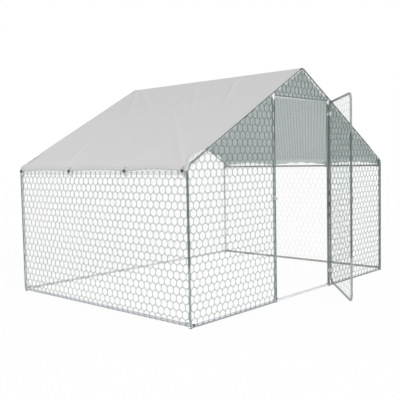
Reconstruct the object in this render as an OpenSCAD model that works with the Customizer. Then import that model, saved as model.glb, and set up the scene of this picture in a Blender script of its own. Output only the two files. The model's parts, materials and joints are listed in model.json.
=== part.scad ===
// Walk-in chicken run: bent tube frame, hexagonal wire nets, a fabric roof cover and a hinged door.
// Origin at the underside of the front left foot, +X across the front, +Y to the back, +Z up.

/* [Run] */
// Distance between the left and right corner posts, centre to centre
run_w = 2750; // [2300:10:3200]
// Distance between the front and back corner posts, centre to centre
run_d = 2000; // [1500:10:2600]
// Height of the eave rails' centre lines
eave_h = 1040; // [900:5:1250]
// Height at which the centre lines of a pair of rafters would meet
ridge_h = 1850; // [1700:5:2200]
// Height of the centre lines of the side and back base rails; the front ones lie just above the feet
base_h = 24; // [22:1:40]

/* [Tube] */
// Outside diameter of the frame tube
tube_od = 19; // [17:0.5:22]
// Wall of every tube
tube_wall = 1; // [0.8:0.1:1.5]
// Centre line radius of the bend from a corner post to its rafter
bend_r = 70; // [55:5:100]
// Centre line radius of the bend at the ridge
peak_r = 50; // [35:5:80]
// Height from the eave rail to the start of the bend
bend_rise = 3; // [1:0.5:20]
// Length of a spigot's root inside the wall of a bend
swage_grip = 5; // [3:0.5:5]
// Length of a spigot that a tube slides over
spigot_len = 60; // [52:1:90]
// Gap round a spigot
spigot_gap = 0.25; // [0.1:0.05:0.5]
// More gap round the second of two spigots that meet in a corner
spigot_slack = 0.1; // [0.05:0.05:0.2]
// Gap from the end of a rail to the post that it meets
end_gap = 0.4; // [0.2:0.1:1]
// Gap round a fitting that is clamped on a tube
fit_gap = 0.1; // [0.05:0.05:0.3]
// Thickness of the foot under a post
foot_t = 3; // [2:0.5:6]
// How far a foot stands out round its post
foot_rim = 1.5; // [0.5:0.5:4]
// Depth of a foot's plug inside the tube
foot_plug = 15; // [8:1:25]

/* [Doorway] */
// Distance between the door posts, centre to centre
door_w = 800; // [650:5:950]
// Angle at which the door stands open
door_open = 41.5; // [0:0.5:100]
// Outside diameter of the door's tube
door_od = 16; // [14:0.5:18]
// Gap between the door's tube and the posts when it is shut
door_gap = 7; // [6.5:0.5:10]
// Centre line radius of the door frame's corners
door_corner_r = 60; // [40:5:100]
// Height of the door's bottom rail
door_bottom_h = 46; // [38:1:80]
// Drop from the rafter to the lintel at a door post
lintel_drop = 20; // [18:1:40]
// Drop from the lintel to the door's top rail
door_top_drop = 8; // [2:1:30]
// Height of the sleeve that joins a door post to the lintel
tee_h = 42; // [34:1:60]
// Wall of that sleeve and of its tongue
tee_t = 2; // [1.5:0.1:2.2]
// Width of the tongue behind the rafter
tee_tongue_w = 16; // [13:0.5:19]

/* [Hinges] */
// Height of the upper hinge strap
hinge_top_h = 1500; // [1300:5:1520]
// Height of the lower hinge strap
hinge_bottom_h = 140; // [125:5:300]
// Height of a hinge strap
strap_w = 20; // [16:1:30]
// Thickness of a strap's loops
strap_t = 1.5; // [1:0.1:2]
// Running clearance of the door's tube in a strap
hinge_clear = 0.08; // [0.04:0.01:0.1]
// Height of the collar that carries the door on a strap
collar_h = 8; // [6:1:14]
// Wall of a collar
collar_t = 2.5; // [1.5:0.1:3]

/* [Latch] */
// Height of the latch
latch_h = 820; // [500:5:1200]
// Diameter of the sliding bolt
bolt_d = 6; // [5:0.5:8]
// Travel of the sliding bolt
bolt_travel = 30; // [24:1:34]
// Running clearance of the bolt in its guides
bolt_clear = 0.1; // [0.05:0.01:0.1]
// Clearance of the bolt in the keeper's eye
keeper_clear = 0.7; // [0.4:0.1:1.5]
// Thickness of the latch's plate
plate_t = 2; // [1.5:0.1:3]
// Height of the latch's plate
plate_h = 44; // [38:1:60]
// Thickness of a guide along the bolt
guide_t = 8; // [6:0.5:10]
// Free length between the two guides
guide_space = 40; // [36:1:50]
// Clear space between the shut door's edge and the keeper's arm
keeper_space = 13; // [10:1:20]
// Thickness of the keeper's arm
keeper_arm_t = 5; // [4:0.5:8]
// Height of the keeper
keeper_h = 16; // [12:1:24]

/* [Nets] */
// Gap between a net and the tubes that carry it
net_gap = 0.3; // [0.2:0.1:0.6]
// Thickness of a net
net_t = 3.2; // [2:0.1:4]
// Width of a strand between two gaps
net_strand = 5; // [4:0.5:8]
// Width of a net's edge
net_edge = 12; // [11:0.5:16]
// How far a net laps past the centre line of a tube
net_lap = 3; // [1:0.5:4]
// Cells along a side net
side_cells = 8; // [6:1:10]
// Cells across a front net
front_cells = 4; // [3:1:5]
// Cells across the back net
back_cells = 8; // [6:1:10]
// Cells along a roof net
roof_cells = 5; // [4:1:7]
// Cells across the door's net
door_cells = 3; // [2:1:4]

/* [Cover] */
// Thickness of the roof cover
cover_t = 1.5; // [1:0.1:2.5]
// Gap between the cover and the roof nets
cover_gap = 0.3; // [0.2:0.1:0.6]
// How far the cover passes the rafters at the front and back
cover_over = 3; // [1:0.5:8]
// Angle on the shoulder at which the cover's hem ends
hem_angle = 10; // [8:1:22]
// Length of the hollow cut beside each corner of the cover
notch_len = 200; // [120:10:260]
// Depth of that hollow
notch_depth = 45; // [25:1:60]
// Rise of the hem between two ties
scallop_depth = 12; // [4:1:14]

/* [Ties] */
// Diameter of the elastic cord of a tie
tie_d = 4; // [3:0.5:5]
// Diameter of a tie's ball
ball_d = 22; // [18:1:28]
// Distance of the end ties from the corner posts
tie_inset = 25; // [24:1:40]
// Place of the first middle tie, as a share of the run's depth
tie_front_share = 0.305; // [0.28:0.005:0.36]
// Place of the second middle tie, as a share of the run's depth
tie_back_share = 0.64; // [0.61:0.005:0.7]
// Hole of an eyelet in the cover
eyelet_d = 9; // [7:0.5:11]
// Width of an eyelet's flange
eyelet_rim = 3.5; // [2.5:0.5:5]
// Thickness of an eyelet's flange
eyelet_t = 0.8; // [0.5:0.1:1.2]
// Angle on the shoulder of the eyelets
eyelet_angle = 31; // [29:1:36]

/* [Screws] */
// Diameter of a screw's shank
screw_d = 5.5; // [4:0.5:6]
// Gap round a screw's shank
screw_gap = 0.2; // [0.1:0.05:0.4]
// Diameter of a screw's domed head
screw_head_d = 14; // [11:0.5:16]
// Height of a screw's domed head
screw_head_h = 5; // [3:0.5:7]
// Length of a screw under its head
screw_len = 10; // [7:0.5:12]
// Distance of a base screw from the post's centre
base_screw_at = 28; // [24:1:36]
// Distance of an eave or ridge screw from the post's centre
eave_screw_at = 48; // [46:1:52]
// Distance of a screw from the end of a rafter or the lintel
sleeve_screw_at = 22; // [16:1:30]
// Diameter of a small screw on the latch
small_screw_d = 4; // [3:0.5:5]

/* [Hidden] */
$fn = 48;

tube_r = tube_od / 2;
tube_id = tube_od - 2 * tube_wall;
spigot_od = tube_id - 2 * spigot_gap;
spigot_id = spigot_od - 2 * tube_wall;
rail_end = tube_r + end_gap;
front_h = foot_t + tube_r;

// The rafter's centre line leaves the shoulder bend at a tangent and aims at the ridge.
bend_z = eave_h + bend_rise;
to_peak = [run_w / 2 - bend_r, ridge_h - bend_z];
pitch = atan2(to_peak.y, to_peak.x) - asin(bend_r / norm(to_peak));
turn = 90 - pitch;
slope_len = sqrt(to_peak * to_peak - bend_r * bend_r);
slope_x = bend_r * (1 - sin(pitch));
slope_z = bend_z + bend_r * cos(pitch);
peak_tangent = peak_r * tan(pitch);
peak_z = ridge_h - peak_r * (1 / cos(pitch) - 1);
rafter_len = slope_len - peak_tangent;

// Doorway and door.
post_left_x = (run_w - door_w) / 2;
post_right_x = (run_w + door_w) / 2;
door_u = (post_left_x - slope_x) / cos(pitch);
door_rafter_z = slope_z + door_u * sin(pitch);
lintel_h = door_rafter_z - lintel_drop;
door_r = door_od / 2;
door_id = door_od - 2 * tube_wall;
door_top_h = lintel_h - door_top_drop;
hinge_out = tube_r + door_gap + door_r;
tee_r = tube_r + fit_gap + tee_t;

// Latch, in the shut door's own frame: the hinge at the origin, the free edge at -door_w.
bolt_out = door_r + fit_gap + plate_t + bolt_d / 2 + 3;
guide_x = [-door_w, -door_w + guide_t + guide_space];
plate_from = -door_w - guide_t / 2 - 5;
plate_to = guide_x[1] + guide_t / 2 + 5;
bolt_tip = -door_w - guide_t / 2 - 2;
bolt_tail = plate_to + 6;
knob_x = guide_x[1] - guide_t / 2 - bolt_d / 2 - 1;
keeper_x = post_left_x - door_r - keeper_space;

// Nets and cover.
net_in = tube_r + net_gap;
net_out = net_in + net_t;
cover_in = net_out + cover_gap;
cover_out = cover_in + cover_t;
cover_mid = bend_r + cover_in + cover_t / 2;
side_cell = run_d / side_cells;
hem_z = bend_z + (bend_r + cover_in) * sin(hem_angle);
tie_at = [tie_inset, run_d * tie_front_share, run_d * tie_back_share, run_d - tie_inset];
ARC_STEPS = 10;
KEEP_CELL = 0.42;

// Arc of points round a centre, from one angle to another.
function arc(centre, r, from, to) =
    [for (i = [0 : ARC_STEPS]) let (a = from + (to - from) * i / ARC_STEPS) centre + r * [cos(a), sin(a)]];

function flip(points) = [for (i = [len(points) - 1 : -1 : 0]) points[i]];

function unit(v) = v / norm(v);

function left_of(v) = [-v.y, v.x];

// Outline moved inwards by a distance, for points that run anticlockwise.
function inset(p, d) = [
    for (i = [0 : len(p) - 1])
        let (n = len(p), a = left_of(unit(p[i] - p[(i + n - 1) % n])), b = left_of(unit(p[(i + 1) % n] - p[i])))
        p[i] + d * (a + b) / (1 + a * b)
];

// Depth of a point inside a convex outline that runs anticlockwise.
function depth_in(p, c) = min([
    for (i = [0 : len(p) - 1]) left_of(unit(p[(i + 1) % len(p)] - p[i])) * (c - p[i])
]);

module right_side() {
    translate([run_w, 0, 0]) mirror([1, 0, 0]) children();
}

module back_side() {
    translate([0, run_d, 0]) mirror([0, 1, 0]) children();
}

// Slope frame: its z runs up the left slope from the end of the bend, its x points under the roof.
module on_slope() {
    translate([slope_x, 0, slope_z]) rotate([0, turn, 0]) children();
}

// Rail frames: z runs along the rail from post centre to post centre, x points at the screw heads.
module at_base_side() {
    translate([0, 0, base_h]) rotate([-90, -90, 0]) children();
}

module at_base_front(x, h = front_h) {
    translate([x, 0, h]) rotate([0, 90, 0]) rotate([0, 0, 180]) children();
}

module at_eave() {
    translate([0, 0, eave_h]) rotate([-90, 0, 0]) children();
}

module at_ridge() {
    translate([run_w / 2, 0, peak_z]) rotate([-90, 0, 0]) rotate([0, 0, 90]) children();
}

module at_lintel() {
    translate([post_left_x, 0, lintel_h]) rotate([0, 90, 0]) rotate([0, 0, 90]) children();
}

// Hole for a screw, in a rail's frame, at a place along the rail.
module screw_hole(z, d = screw_d) {
    translate([0, 0, z]) rotate([0, 90, 0]) cylinder(h = tube_od, d = d + 2 * screw_gap);
}

// Domed screw, pointing inwards along x, with its head on a surface at a radius.
module screw(z, seat = tube_r) {
    translate([seat, 0, z]) rotate([0, 90, 0]) {
        dome_r = (screw_head_h ^ 2 + screw_head_d ^ 2 / 4) / (2 * screw_head_h);
        intersection() {
            translate([0, 0, screw_head_h - dome_r]) sphere(r = dome_r);
            translate([0, 0, fit_gap]) cylinder(h = screw_head_h, d = screw_head_d);
        }
        translate([0, 0, -screw_len]) cylinder(h = screw_len + 2 * fit_gap, d = screw_d);
    }
}

module rail(from, to, holes) {
    difference() {
        translate([0, 0, from]) cylinder(h = to - from, d = tube_od);
        translate([0, 0, from - 1]) cylinder(h = to - from + 2, d = tube_id);
        for (z = holes) {
            screw_hole(z);
        }
    }
}

// Spigot welded to a post, in the frame of the rail that slides over it.
module spigot(hole, slack = 0) {
    difference() {
        cylinder(h = rail_end + spigot_len, d = spigot_od - 2 * slack);
        translate([0, 0, tube_r + tube_wall]) cylinder(h = spigot_len + tube_r, d = spigot_id);
        screw_hole(hole);
    }
}

// Reduced end of a bent tube, in a frame whose z runs out of it.
module swaged_end() {
    difference() {
        union() {
            translate([0, 0, -swage_grip]) cylinder(h = swage_grip, d = tube_id + tube_wall);
            translate([0, 0, -1]) cylinder(h = spigot_len + 1, d = spigot_od);
        }
        translate([0, 0, -swage_grip - 1]) cylinder(h = swage_grip + spigot_len + 2, d = spigot_id);
        screw_hole(sleeve_screw_at);
    }
}

// Solid path of a corner post at a diameter: upright and bend.
module post_path(d, from) {
    translate([0, 0, from]) cylinder(h = bend_z - from, d = d);
    translate([bend_r, 0, bend_z]) mirror([1, 0, 0]) rotate([90, 0, 0])
        rotate_extrude(angle = turn) translate([bend_r, 0]) circle(d = d);
}

module corner_post(cross_h) {
    color("lightsteelblue") {
        difference() {
            union() {
                post_path(tube_od, foot_t);
                at_base_side() spigot(base_screw_at);
                at_base_front(0, cross_h) spigot(base_screw_at, spigot_slack);
                at_eave() spigot(eave_screw_at);
            }
            post_path(tube_id, foot_t - 1);
        }
        on_slope() swaged_end();
    }
}

module post_front_left() {
    corner_post(front_h);
}

module post_front_right() {
    right_side() corner_post(front_h);
}

module post_back_left() {
    back_side() corner_post(base_h);
}

module post_back_right() {
    right_side() back_side() corner_post(base_h);
}

rafter_holes = [sleeve_screw_at, rafter_len - sleeve_screw_at];

module rafter() {
    color("lightsteelblue") on_slope() rail(end_gap, rafter_len - end_gap, rafter_holes);
}

// A front rafter also takes the screw of a door post's tee, from the back.
module front_rafter() {
    difference() {
        rafter();
        on_slope() rotate([0, 0, 90]) screw_hole(door_u);
    }
}

module rafter_front_left() {
    front_rafter();
}

module rafter_front_right() {
    right_side() front_rafter();
}

module rafter_back_left() {
    back_side() rafter();
}

module rafter_back_right() {
    right_side() back_side() rafter();
}

module peak_path(d) {
    translate([run_w / 2, 0, peak_z - peak_r]) rotate([90, 0, 0]) rotate([0, 0, 90 - pitch])
        rotate_extrude(angle = 2 * pitch) translate([peak_r, 0]) circle(d = d);
}

module mirror_x(side) {
    if (side == 1) {
        right_side() children();
    } else {
        children();
    }
}

module peak_bend() {
    color("lightsteelblue") {
        difference() {
            union() {
                peak_path(tube_od);
                at_ridge() spigot(eave_screw_at);
            }
            peak_path(tube_id);
        }
        for (side = [0 : 1]) {
            mirror_x(side) on_slope() translate([0, 0, rafter_len]) mirror([0, 0, 1]) swaged_end();
        }
    }
}

module peak_bend_front() {
    peak_bend();
}

module peak_bend_back() {
    back_side() peak_bend();
}

eave_holes = [eave_screw_at, run_d - eave_screw_at];

module ridge_rail() {
    color("lightsteelblue") at_ridge() rail(rail_end, run_d - rail_end, eave_holes);
}

module eave_rail_left() {
    color("lightsteelblue") at_eave() rail(rail_end, run_d - rail_end, eave_holes);
}

module eave_rail_right() {
    right_side() eave_rail_left();
}

module base_rail(span) {
    color("lightsteelblue") rail(rail_end, span - rail_end, [base_screw_at, span - base_screw_at]);
}

module base_rail_left() {
    at_base_side() base_rail(run_d);
}

module base_rail_right() {
    right_side() base_rail_left();
}

module base_rail_back() {
    back_side() at_base_front(0, base_h) base_rail(run_w);
}

module base_rail_front_left() {
    at_base_front(0) base_rail(post_left_x);
}

module base_rail_front_right() {
    right_side() base_rail_front_left();
}

module door_sill() {
    at_base_front(post_left_x) base_rail(door_w);
}

// Left door post, with screw holes in its back at given heights.
module door_post(holes) {
    color("lightsteelblue") difference() {
        union() {
            translate([post_left_x, 0, foot_t]) cylinder(h = door_rafter_z - foot_t, d = tube_od);
            at_base_front(post_left_x) spigot(base_screw_at);
            translate([2 * post_left_x, 0, 0]) mirror([1, 0, 0]) at_base_front(post_left_x) spigot(base_screw_at);
        }
        translate([post_left_x, 0, foot_t - 1]) cylinder(h = door_rafter_z, d = tube_id);
        on_slope() cylinder(h = slope_len, d = tube_od + 2 * end_gap);
        for (z = holes) {
            translate([post_left_x, 0, 0]) rotate([0, 0, 90]) screw_hole(z);
        }
    }
}

module door_post_left() {
    door_post([latch_h]);
}

module door_post_right() {
    right_side() door_post([hinge_top_h, hinge_bottom_h]);
}

module lintel() {
    color("lightsteelblue") at_lintel()
        rail(tee_r + end_gap, door_w - tee_r - end_gap, [eave_screw_at, door_w - eave_screw_at]);
}

// Sleeve on a door post, with a spigot for the lintel and a tongue behind the rafter.
module tee() {
    color("gainsboro") difference() {
        union() {
            translate([post_left_x, 0, lintel_h - tee_h / 2]) cylinder(h = tee_h, r = tee_r);
            at_lintel() cylinder(h = rail_end + spigot_len, d = spigot_od);
            translate([post_left_x - tee_tongue_w / 2, tube_r + end_gap, lintel_h - tee_h / 2])
                cube([tee_tongue_w, tee_t, door_rafter_z - lintel_h + tee_h / 2 + tee_tongue_w / 2]);
        }
        translate([post_left_x, 0, 0]) cylinder(h = ridge_h, d = tube_od + 2 * fit_gap);
        at_lintel() translate([0, 0, tee_r + 1]) cylinder(h = spigot_len + tube_r, d = spigot_id);
        at_lintel() screw_hole(eave_screw_at);
        on_slope() cylinder(h = slope_len, d = tube_od + 2 * end_gap);
        on_slope() rotate([0, 0, 90]) screw_hole(door_u);
    }
}

module tee_left() {
    tee();
}

module tee_right() {
    right_side() tee();
}

module foot() {
    color("dimgray") {
        cylinder(h = foot_t - fit_gap, r = tube_r + foot_rim);
        cylinder(h = foot_t + foot_plug, d = tube_id - 2 * fit_gap);
    }
}

module post_feet() {
    for (x = [0, run_w], y = [0, run_d]) {
        translate([x, y, 0]) foot();
    }
    for (x = [post_left_x, post_right_x]) {
        translate([x, 0, 0]) foot();
    }
}

module end_screws(span, at) {
    color("darkslategray") for (z = [at, span - at]) {
        screw(z);
    }
}

module base_screws() {
    for (side = [0 : 1]) {
        mirror_x(side) at_base_side() end_screws(run_d, base_screw_at);
        mirror_x(side) at_base_front(0) end_screws(post_left_x, base_screw_at);
    }
    at_base_front(post_left_x) end_screws(door_w, base_screw_at);
    back_side() at_base_front(0, base_h) end_screws(run_w, base_screw_at);
}

module eave_screws() {
    for (side = [0 : 1]) {
        mirror_x(side) at_eave() end_screws(run_d, eave_screw_at);
    }
}

module roof_screws() {
    at_ridge() end_screws(run_d, eave_screw_at);
    color("darkslategray") for (side = [0 : 1], z = rafter_holes) {
        mirror_x(side) on_slope() screw(z);
        mirror_x(side) back_side() on_slope() screw(z);
    }
}

module lintel_screws() {
    at_lintel() end_screws(door_w, eave_screw_at);
    color("darkslategray") for (side = [0 : 1]) {
        mirror_x(side) on_slope() rotate([0, 0, 90]) screw(door_u, tube_r + end_gap + tee_t);
    }
}

// Flat hexagonal net inside an anticlockwise outline, with one cell's centre on a given point.
module hex_net(outline, cell, centre) {
    inner = inset(outline, net_edge);
    row = cell * sqrt(3) / 2;
    low = [min([for (p = inner) p.x]), min([for (p = inner) p.y])];
    high = [max([for (p = inner) p.x]), max([for (p = inner) p.y])];
    first = [floor((low.x - centre.x) / cell) - 1, floor((low.y - centre.y) / row)];
    last = [ceil((high.x - centre.x) / cell), ceil((high.y - centre.y) / row)];
    difference() {
        polygon(outline);
        intersection() {
            polygon(inner);
            for (k = [first.y : last.y], i = [first.x : last.x]) {
                c = centre + [(i + (abs(k) % 2) / 2) * cell, k * row];
                if (depth_in(inner, c) > -KEEP_CELL * cell) {
                    translate(c) rotate(30) circle(r = (cell - net_strand) / sqrt(3), $fn = 6);
                }
            }
        }
    }
}

// Wall frames for nets: a flat shape's x runs along the wall, its y up, and it thickens outwards.
module on_front(out) {
    translate([0, -out, 0]) rotate([90, 0, 0]) children();
}

module on_side(out) {
    translate([-out, run_d, 0]) rotate([90, 0, -90]) children();
}

module net_plate() {
    color("lightgray") linear_extrude(net_t) children();
}

module net_left() {
    outline = [
        [-net_lap, base_h - net_lap], [run_d + net_lap, base_h - net_lap],
        [run_d + net_lap, eave_h + net_lap - 1], [-net_lap, eave_h + net_lap - 1]
    ];
    on_side(net_in) net_plate() hex_net(outline, side_cell, [0, eave_h]);
}

module net_right() {
    right_side() net_left();
}

// Points of the left shoulder bend's chord and of the ridge bend's chord, on the centre lines.
shoulder_low = [0, bend_z];
shoulder_high = [slope_x, slope_z];
peak_left = [run_w / 2 - peak_tangent * cos(pitch), ridge_h - peak_tangent * sin(pitch)];
peak_right = [run_w - peak_left.x, peak_left.y];

module net_back() {
    outline = [
        [-net_lap, base_h - net_lap], [run_w + net_lap, base_h - net_lap],
        [run_w - shoulder_low.x + net_lap, shoulder_low.y], [run_w - shoulder_high.x, shoulder_high.y],
        peak_right, peak_left, shoulder_high, shoulder_low - [net_lap, 0]
    ];
    back_side() on_front(net_in) net_plate() hex_net(outline, run_w / back_cells, [0, eave_h]);
}

// Half the width of the cut-out that lets a ring on a door post through the net's plane.
ring_cut = sqrt(tee_r ^ 2 - net_in ^ 2) + 1;

// Front net with cut-outs at the left door post: round the tee, and from low to high round some rings.
module front_net(rings, low, high) {
    outline = [
        [-net_lap, front_h - net_lap], [post_left_x + net_lap, front_h - net_lap],
        [post_left_x + net_lap, door_rafter_z], shoulder_high, shoulder_low - [net_lap, 0]
    ];
    on_front(net_in) net_plate() difference() {
        hex_net(outline, post_left_x / front_cells, [0, eave_h]);
        translate([post_left_x - ring_cut, lintel_h - tee_h / 2 - 1]) square([2 * ring_cut, tee_h + lintel_drop]);
        for (h = rings) {
            translate([post_left_x - ring_cut, h - low - 1]) square([2 * ring_cut, low + high + 2]);
        }
    }
}

// The left one also lets the keeper's arm through.
module net_front_left() {
    difference() {
        front_net([latch_h], keeper_h / 2, keeper_h / 2);
        translate([keeper_x - keeper_arm_t - 1, -2 * net_out, latch_h - keeper_h / 2 - 1])
            cube([keeper_arm_t + 2, 2 * net_out, keeper_h + 2]);
    }
}

module net_front_right() {
    right_side() front_net([hinge_top_h, hinge_bottom_h], strap_w / 2, strap_w / 2 + collar_h + 1);
}

module net_gable() {
    outline = [
        [post_left_x, lintel_h - net_lap], [post_right_x, lintel_h - net_lap],
        [post_right_x, door_rafter_z], peak_right, peak_left, [post_left_x, door_rafter_z]
    ];
    on_front(net_in) net_plate() difference() {
        hex_net(outline, door_w / door_cells, [run_w / 2, lintel_h]);
        for (x = [post_left_x, post_right_x]) {
            translate([x - ring_cut, lintel_h - tee_h / 2]) square([2 * ring_cut, tee_h + lintel_drop]);
        }
    }
}

// Curved strip of net over the shoulder, with one row of gaps.
module net_shoulder_left() {
    centre = [bend_r, bend_z];
    strip = concat(
        arc(centre, bend_r + net_out, 180, 180 - turn),
        flip(arc(centre, bend_r + net_in, 180, 180 - turn))
    );
    gap_h = (bend_r + net_in) * turn * PI / 180 - 2 * net_edge;
    gap_w = side_cell - net_strand;
    gap = [
        [0, gap_h / 2], [-gap_w / 2, gap_h / 3], [-gap_w / 2, -gap_h / 3],
        [0, -gap_h / 2], [gap_w / 2, -gap_h / 3], [gap_w / 2, gap_h / 3]
    ];
    color("lightgray") difference() {
        translate([0, run_d + net_lap, 0]) rotate([90, 0, 0]) linear_extrude(run_d + 2 * net_lap) polygon(strip);
        intersection() {
            translate([bend_r, 0, bend_z]) rotate([0, turn / 2, 0]) for (k = [0 : side_cells - 1]) {
                translate([0, (k + 0.5) * side_cell, 0]) rotate([90, 0, -90]) linear_extrude(2 * bend_r) polygon(gap);
            }
            translate([-run_w / 2, net_edge - net_lap, 0]) cube([run_w, run_d - 2 * (net_edge - net_lap), ridge_h]);
        }
    }
}

module net_shoulder_right() {
    right_side() net_shoulder_left();
}

module net_roof_left() {
    top = slope_len - peak_tangent;
    outline = [[-net_lap, end_gap], [run_d + net_lap, end_gap], [run_d + net_lap, top], [-net_lap, top]];
    on_slope() on_side(net_in) net_plate() hex_net(outline, run_d / roof_cells, [0, end_gap]);
}

module net_roof_right() {
    right_side() net_roof_left();
}

// One face of the cover's left half in the front view, from the hem to the ridge.
function cover_face(out) = concat(
    arc([bend_r, bend_z], bend_r + out, 180 - hem_angle, 180 - turn),
    arc([run_w / 2, peak_z - peak_r], peak_r + out, 90 + pitch, 90)
);

function cover_span(out) =
    let (half = cover_face(out))
    concat(half, [for (i = [len(half) - 2 : -1 : 0]) [run_w - half[i].x, half[i].y]]);

// Frame at an eyelet of the left hem, with z pointing out of the cover.
module at_eyelet(y) {
    translate([bend_r, y, bend_z]) rotate([0, eyelet_angle - 90, 0]) translate([0, 0, cover_mid]) children();
}

// Hollows cut from one half of the cover: beside its front and back corners, and along its hem.
module cover_cuts() {
    notch_r = (notch_len ^ 2 / 4 + notch_depth ^ 2) / (2 * notch_depth);
    notch_y = notch_depth - tube_r - cover_over - notch_r;
    for (y = [notch_y, run_d - notch_y]) {
        on_slope() translate([-cover_in - cover_t / 2, y, notch_len / 2]) rotate([0, 90, 0])
            cylinder(h = 4 * cover_t, r = notch_r, center = true);
    }
    for (i = [0 : len(tie_at) - 2]) {
        chord = tie_at[i + 1] - tie_at[i] - 3 * (eyelet_d + 2 * eyelet_rim);
        scallop_r = (chord ^ 2 / 4 + scallop_depth ^ 2) / (2 * scallop_depth);
        translate([0, (tie_at[i] + tie_at[i + 1]) / 2, hem_z + scallop_depth - scallop_r])
            rotate([0, 90, 0]) cylinder(h = 2 * bend_r, r = scallop_r, center = true, $fn = 96);
    }
    for (y = tie_at) {
        at_eyelet(y) cylinder(h = 4 * cover_t, d = eyelet_d + 2 * eyelet_t + 2 * fit_gap, center = true);
    }
}

module roof_cover() {
    length = run_d + 2 * (tube_r + cover_over);
    color("whitesmoke") difference() {
        translate([0, run_d + tube_r + cover_over, 0]) rotate([90, 0, 0]) linear_extrude(length)
            polygon(concat(cover_span(cover_in), flip(cover_span(cover_out))));
        for (side = [0 : 1]) {
            mirror_x(side) cover_cuts();
        }
    }
}

// The flat flanges stand off by the cover's curve under them.
module eyelet() {
    grip = cover_t / 2 + fit_gap + (eyelet_d / 2 + eyelet_rim) ^ 2 / (2 * cover_mid);
    difference() {
        union() {
            for (side = [0 : 1]) {
                mirror([0, 0, side]) translate([0, 0, grip]) cylinder(h = eyelet_t, d = eyelet_d + 2 * eyelet_rim);
            }
            cylinder(h = 2 * grip + eyelet_t, d = eyelet_d + 2 * eyelet_t, center = true);
        }
        cylinder(h = 4 * grip + 4 * eyelet_t, d = eyelet_d, center = true);
    }
}

module cover_eyelets() {
    color("silver") for (side = [0 : 1], y = tie_at) {
        mirror_x(side) at_eyelet(y) eyelet();
    }
}

// Closed loop of a tie in the plane across the left eave rail, from its ball round the rail.
cord_r = tie_d / 2;
under_z = eave_h - tube_r - tie_d - 1;
inner_x = tube_r + tie_d;
function shoulder_at(a, r) = [bend_r - r * cos(a), bend_z + r * sin(a)];
ball_at = shoulder_at(hem_angle, bend_r + cover_out + ball_d / 2 + fit_gap);
tie_route = [
    ball_at,
    shoulder_at(eyelet_angle, cover_mid + cover_t + tie_d),
    shoulder_at(eyelet_angle, cover_mid - net_t - tie_d),
    [inner_x, eave_h + tube_r],
    [inner_x, eave_h - cord_r],
    [tie_d, under_z],
    [-net_out - tie_d, under_z + 1]
];

module cord_piece(a, b) {
    d = b - a;
    translate([a.x, 0, a.y]) {
        sphere(d = tie_d + 2 * fit_gap);
        rotate([0, atan2(d.x, d.y), 0]) cylinder(h = norm(d), d = tie_d);
    }
}

module cover_ties() {
    color("black") for (side = [0 : 1], y = tie_at) {
        mirror_x(side) translate([0, y, 0]) difference() {
            union() {
                for (i = [0 : len(tie_route) - 1]) {
                    cord_piece(tie_route[i], tie_route[(i + 1) % len(tie_route)]);
                }
            }
            translate([ball_at.x, 0, ball_at.y]) sphere(d = ball_d + 2 * fit_gap);
        }
    }
}

module tie_balls() {
    color("black") for (x = [ball_at.x, run_w - ball_at.x], y = tie_at) {
        translate([x, y, ball_at.y]) sphere(d = ball_d);
    }
}

// Strap of two loops: one clamped on the right door post, one round the door's hinge tube.
module hinge_strap(h) {
    color("silver") translate([post_right_x, 0, h]) difference() {
        translate([0, 0, -strap_w / 2]) linear_extrude(strap_w) difference() {
            union() {
                circle(r = tube_r + fit_gap + strap_t);
                translate([0, -hinge_out]) circle(r = door_r + hinge_clear + strap_t);
                translate([-2 * strap_t, -hinge_out]) square([4 * strap_t, hinge_out]);
            }
            circle(r = tube_r + fit_gap);
            translate([0, -hinge_out]) circle(r = door_r + hinge_clear);
        }
        rotate([0, 0, 90]) screw_hole(0);
    }
}

module hinge_strap_top() {
    hinge_strap(hinge_top_h);
}

module hinge_strap_bottom() {
    hinge_strap(hinge_bottom_h);
}

module hinge_screws() {
    color("darkslategray") for (h = [hinge_top_h, hinge_bottom_h]) {
        translate([post_right_x, 0, 0]) rotate([0, 0, 90]) screw(h, tube_r + fit_gap + strap_t);
    }
}

// Clamp on the left door post with an arm that holds an eye in front, for the latch's bolt.
module latch_keeper() {
    eye_y = -hinge_out - bolt_out;
    eye_r = bolt_d / 2 + keeper_clear + 3;
    clamp_r = tube_r + fit_gap + strap_t;
    color("silver") translate([0, 0, latch_h]) difference() {
        union() {
            translate([post_left_x, 0, -keeper_h / 2]) cylinder(h = keeper_h, r = clamp_r);
            translate([keeper_x - keeper_arm_t, -strap_t, -keeper_h / 2])
                cube([post_left_x - keeper_x + keeper_arm_t, 2 * strap_t, keeper_h]);
            translate([keeper_x - keeper_arm_t, eye_y, -keeper_h / 2]) cube([keeper_arm_t, -eye_y, keeper_h]);
            translate([keeper_x - keeper_arm_t, eye_y, 0]) rotate([0, 90, 0]) cylinder(h = keeper_arm_t, r = keeper_h / 2);
        }
        translate([post_left_x, 0, -keeper_h]) cylinder(h = 2 * keeper_h, r = tube_r + fit_gap);
        translate([keeper_x - 2 * keeper_arm_t, eye_y, 0]) rotate([0, 90, 0])
            cylinder(h = 3 * keeper_arm_t, r = bolt_d / 2 + keeper_clear);
        translate([post_left_x, 0, 0]) rotate([0, 0, 90]) screw_hole(0);
    }
}

module keeper_screw() {
    color("darkslategray") translate([post_left_x, 0, 0]) rotate([0, 0, 90])
        screw(latch_h, tube_r + fit_gap + strap_t);
}

// Door frame: the shut door lies along -x from its hinge tube, turned to its open angle.
module on_door() {
    translate([post_right_x, -hinge_out, 0]) rotate([0, 0, door_open]) children();
}

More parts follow.
